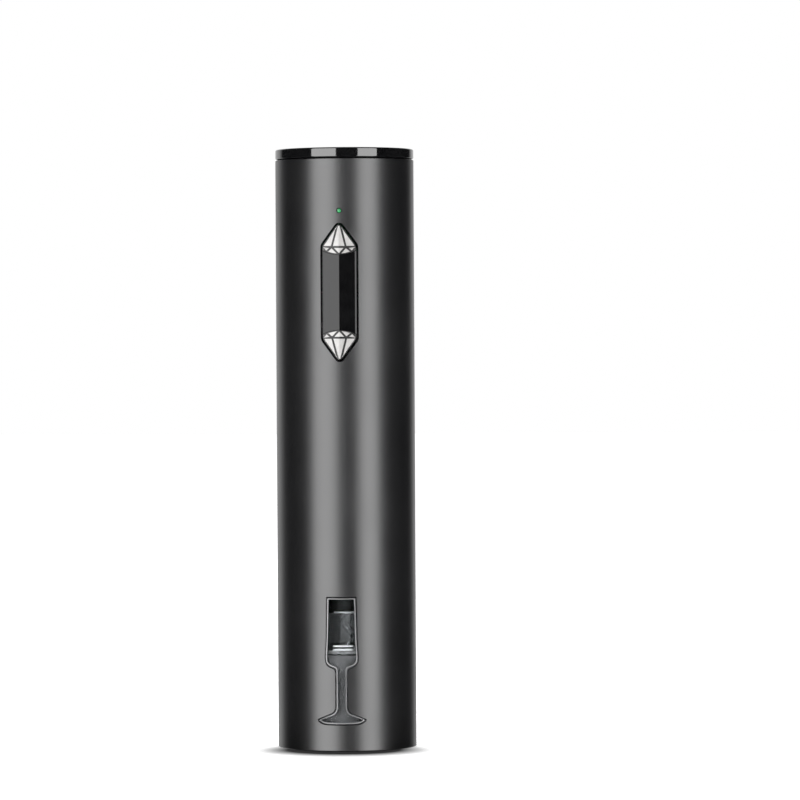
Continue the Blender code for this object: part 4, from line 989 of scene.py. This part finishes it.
# ---- Boards, switches and charging socket ----
# Two glass-epoxy boards carry the tact switches, the light and the stamped steel charging socket.
# Each switch's plunger is a piece of its own, which follows the rocker.
solder_mask = worked_finish(
    "solder_mask", (0.012, 0.10, 0.045), (0.020, 0.17, 0.075), (0.28, 0.4), cloud=200, relief=2500,
    depth=0.12)
mask_nodes = solder_mask.node_tree.nodes
mask_links = solder_mask.node_tree.links
tracks = mask_nodes.new("ShaderNodeTexBrick")
tracks.inputs["Scale"].default_value = 260
tracks.inputs["Mortar Size"].default_value = 0.035
tracks.inputs["Color1"].default_value = (0.015, 0.12, 0.055, 1)
tracks.inputs["Color2"].default_value = (0.012, 0.09, 0.040, 1)
tracks.inputs["Mortar"].default_value = (0.07, 0.30, 0.14, 1)
upright = mask_nodes.new("ShaderNodeMapping")
upright.inputs["Rotation"].default_value = (math.pi / 2, 0, 0)
mask_place = mask_nodes.new("ShaderNodeTexCoord")
mask_links.new(mask_place.outputs["Object"], upright.inputs["Vector"])
mask_links.new(upright.outputs["Vector"], tracks.inputs["Vector"])
mask_links.new(tracks.outputs["Color"], mask_nodes["Principled BSDF"].inputs["Base Color"])
refined("main_circuit_board", "main_board", "housing", solder_mask, 0.0001)
refined("charging_circuit_board", "charge_board", "housing", solder_mask, 0.0001)
for side in ("upper", "lower"):
    refined(f"switch_body_{side}", f"tact_switch_{side}", "housing", nylon, 0.00025)
    plunger_low, plunger_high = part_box(f"tact_plunger_{side}")
    plunger_z = (plunger_low.z + plunger_high.z) / 2
    plunger = bar(f"switch_plunger_{side}", (0, plunger_low.y, plunger_z), (0, plunger_high.y, plunger_z),
                  0.0015, 48, 0.00025)
    plunger.data.materials.append(nylon)
    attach(plunger, f"plunger_{side}")
    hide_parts(f"tact_plunger_{side}")
diode_green = worked_finish(
    "diode_green", (0.05, 0.45, 0.14), (0.10, 0.65, 0.24), (0.15, 0.25), cloud=900, relief=3000,
    depth=0.1)
tune(diode_green, {"Emission Color": (0.05, 0.6, 0.15, 1), "Emission Strength": 0.8})
refined("light_diode", "status_led", "housing", diode_green, 0.00015)

shell_half = [(0.00375, 0.0014, 0.0006), (0.00375, -0.0002, 0.0005), (0.0030, -0.0014, 0.0005)]
cavity_half = [(0.00343, 0.00108, 0.0004), (0.00343, -0.00008, 0.0004), (0.0028, -0.00108, 0.0004)]
shell_outline = rounded([(x, SOCKET_Z + z, r) for x, z, r in both_sides(shell_half)])
cavity_outline = rounded([(x, SOCKET_Z + z, r) for x, z, r in both_sides(cavity_half)])
socket_low, socket_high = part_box("usb_socket")
socket = sheet_cut("stamped_socket", [shell_outline, cavity_outline], socket_high.y - socket_low.y,
                   0.00008, front_y=socket_low.y)
socket_back = sheet_cut("socket_back", [shell_outline], 0.0010, 0.0, front_y=socket_low.y + 0.0001)
combine(socket, socket_back, "UNION")
tongue = blocked("tongue", (-0.0019, socket_low.y + 0.0005, SOCKET_Z - 0.0001),
                 (0.0019, socket_high.y - 0.0008, SOCKET_Z + 0.0005), edge=0.00012)
combine(socket, tongue, "UNION")
bpy.ops.object.shade_smooth_by_angle(angle=math.radians(30))
socket.data.materials.append(zinc_steel)
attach(socket, "housing")
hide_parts("usb_socket")

# ---- Battery, cradle and leads ----
# One lithium cell in a blue shrink wrap lies across a nylon cradle, and PVC leads run to the board.
# The wrap is turned over at the cell's ends and leaves their steel bare.
CELL_Y = 0.0020
CELL_Z = 0.1928
BARE_END_R = 0.0078
shrink_wrap = worked_finish(
    "shrink_wrap", (0.02, 0.09, 0.33), (0.035, 0.14, 0.45), (0.22, 0.34), cloud=180, relief=900,
    depth=0.15)
cell = turned_piece("wrapped_cell", [
    (0.0001, 0.0175), (0.0028, 0.0175), (0.0030, 0.0172), (0.0030, 0.0166), (0.0080, 0.0165),
    (0.0088, 0.0163), (0.0090, 0.0158), (0.0090, -0.0169), (0.0087, -0.0174), (0.0079, -0.0175),
    (0.0078, -0.0173), (0.0001, -0.0173)], sides=96, closed=False, edge=0.0001)
cell.rotation_euler.y = math.pi / 2
cell.location = (0, CELL_Y, CELL_Z)
bpy.ops.object.transform_apply()
cell.data.materials.append(shrink_wrap)
cell.data.materials.append(zinc_steel)
for face in cell.data.polygons:
    away = math.hypot(face.center.y - CELL_Y, face.center.z - CELL_Z)
    face.material_index = 1 if away < BARE_END_R else 0
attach(cell, "housing")
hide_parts("battery_cell")
refined("cell_cradle", "battery_cradle", "housing", nylon, 0.00015)
pvc = {
    "red": worked_finish("red_pvc", (0.42, 0.012, 0.012), (0.62, 0.02, 0.02), (0.35, 0.48),
                         cloud=600, relief=3000, depth=0.15),
    "black": worked_finish("black_pvc", (0.010, 0.010, 0.010), (0.022, 0.022, 0.022), (0.35, 0.48),
                           cloud=600, relief=3000, depth=0.15),
}
for colour in ("red", "black"):
    keep_node(f"battery_lead_{colour}", pvc[colour])
    keep_node(f"motor_lead_{colour}", pvc[colour])
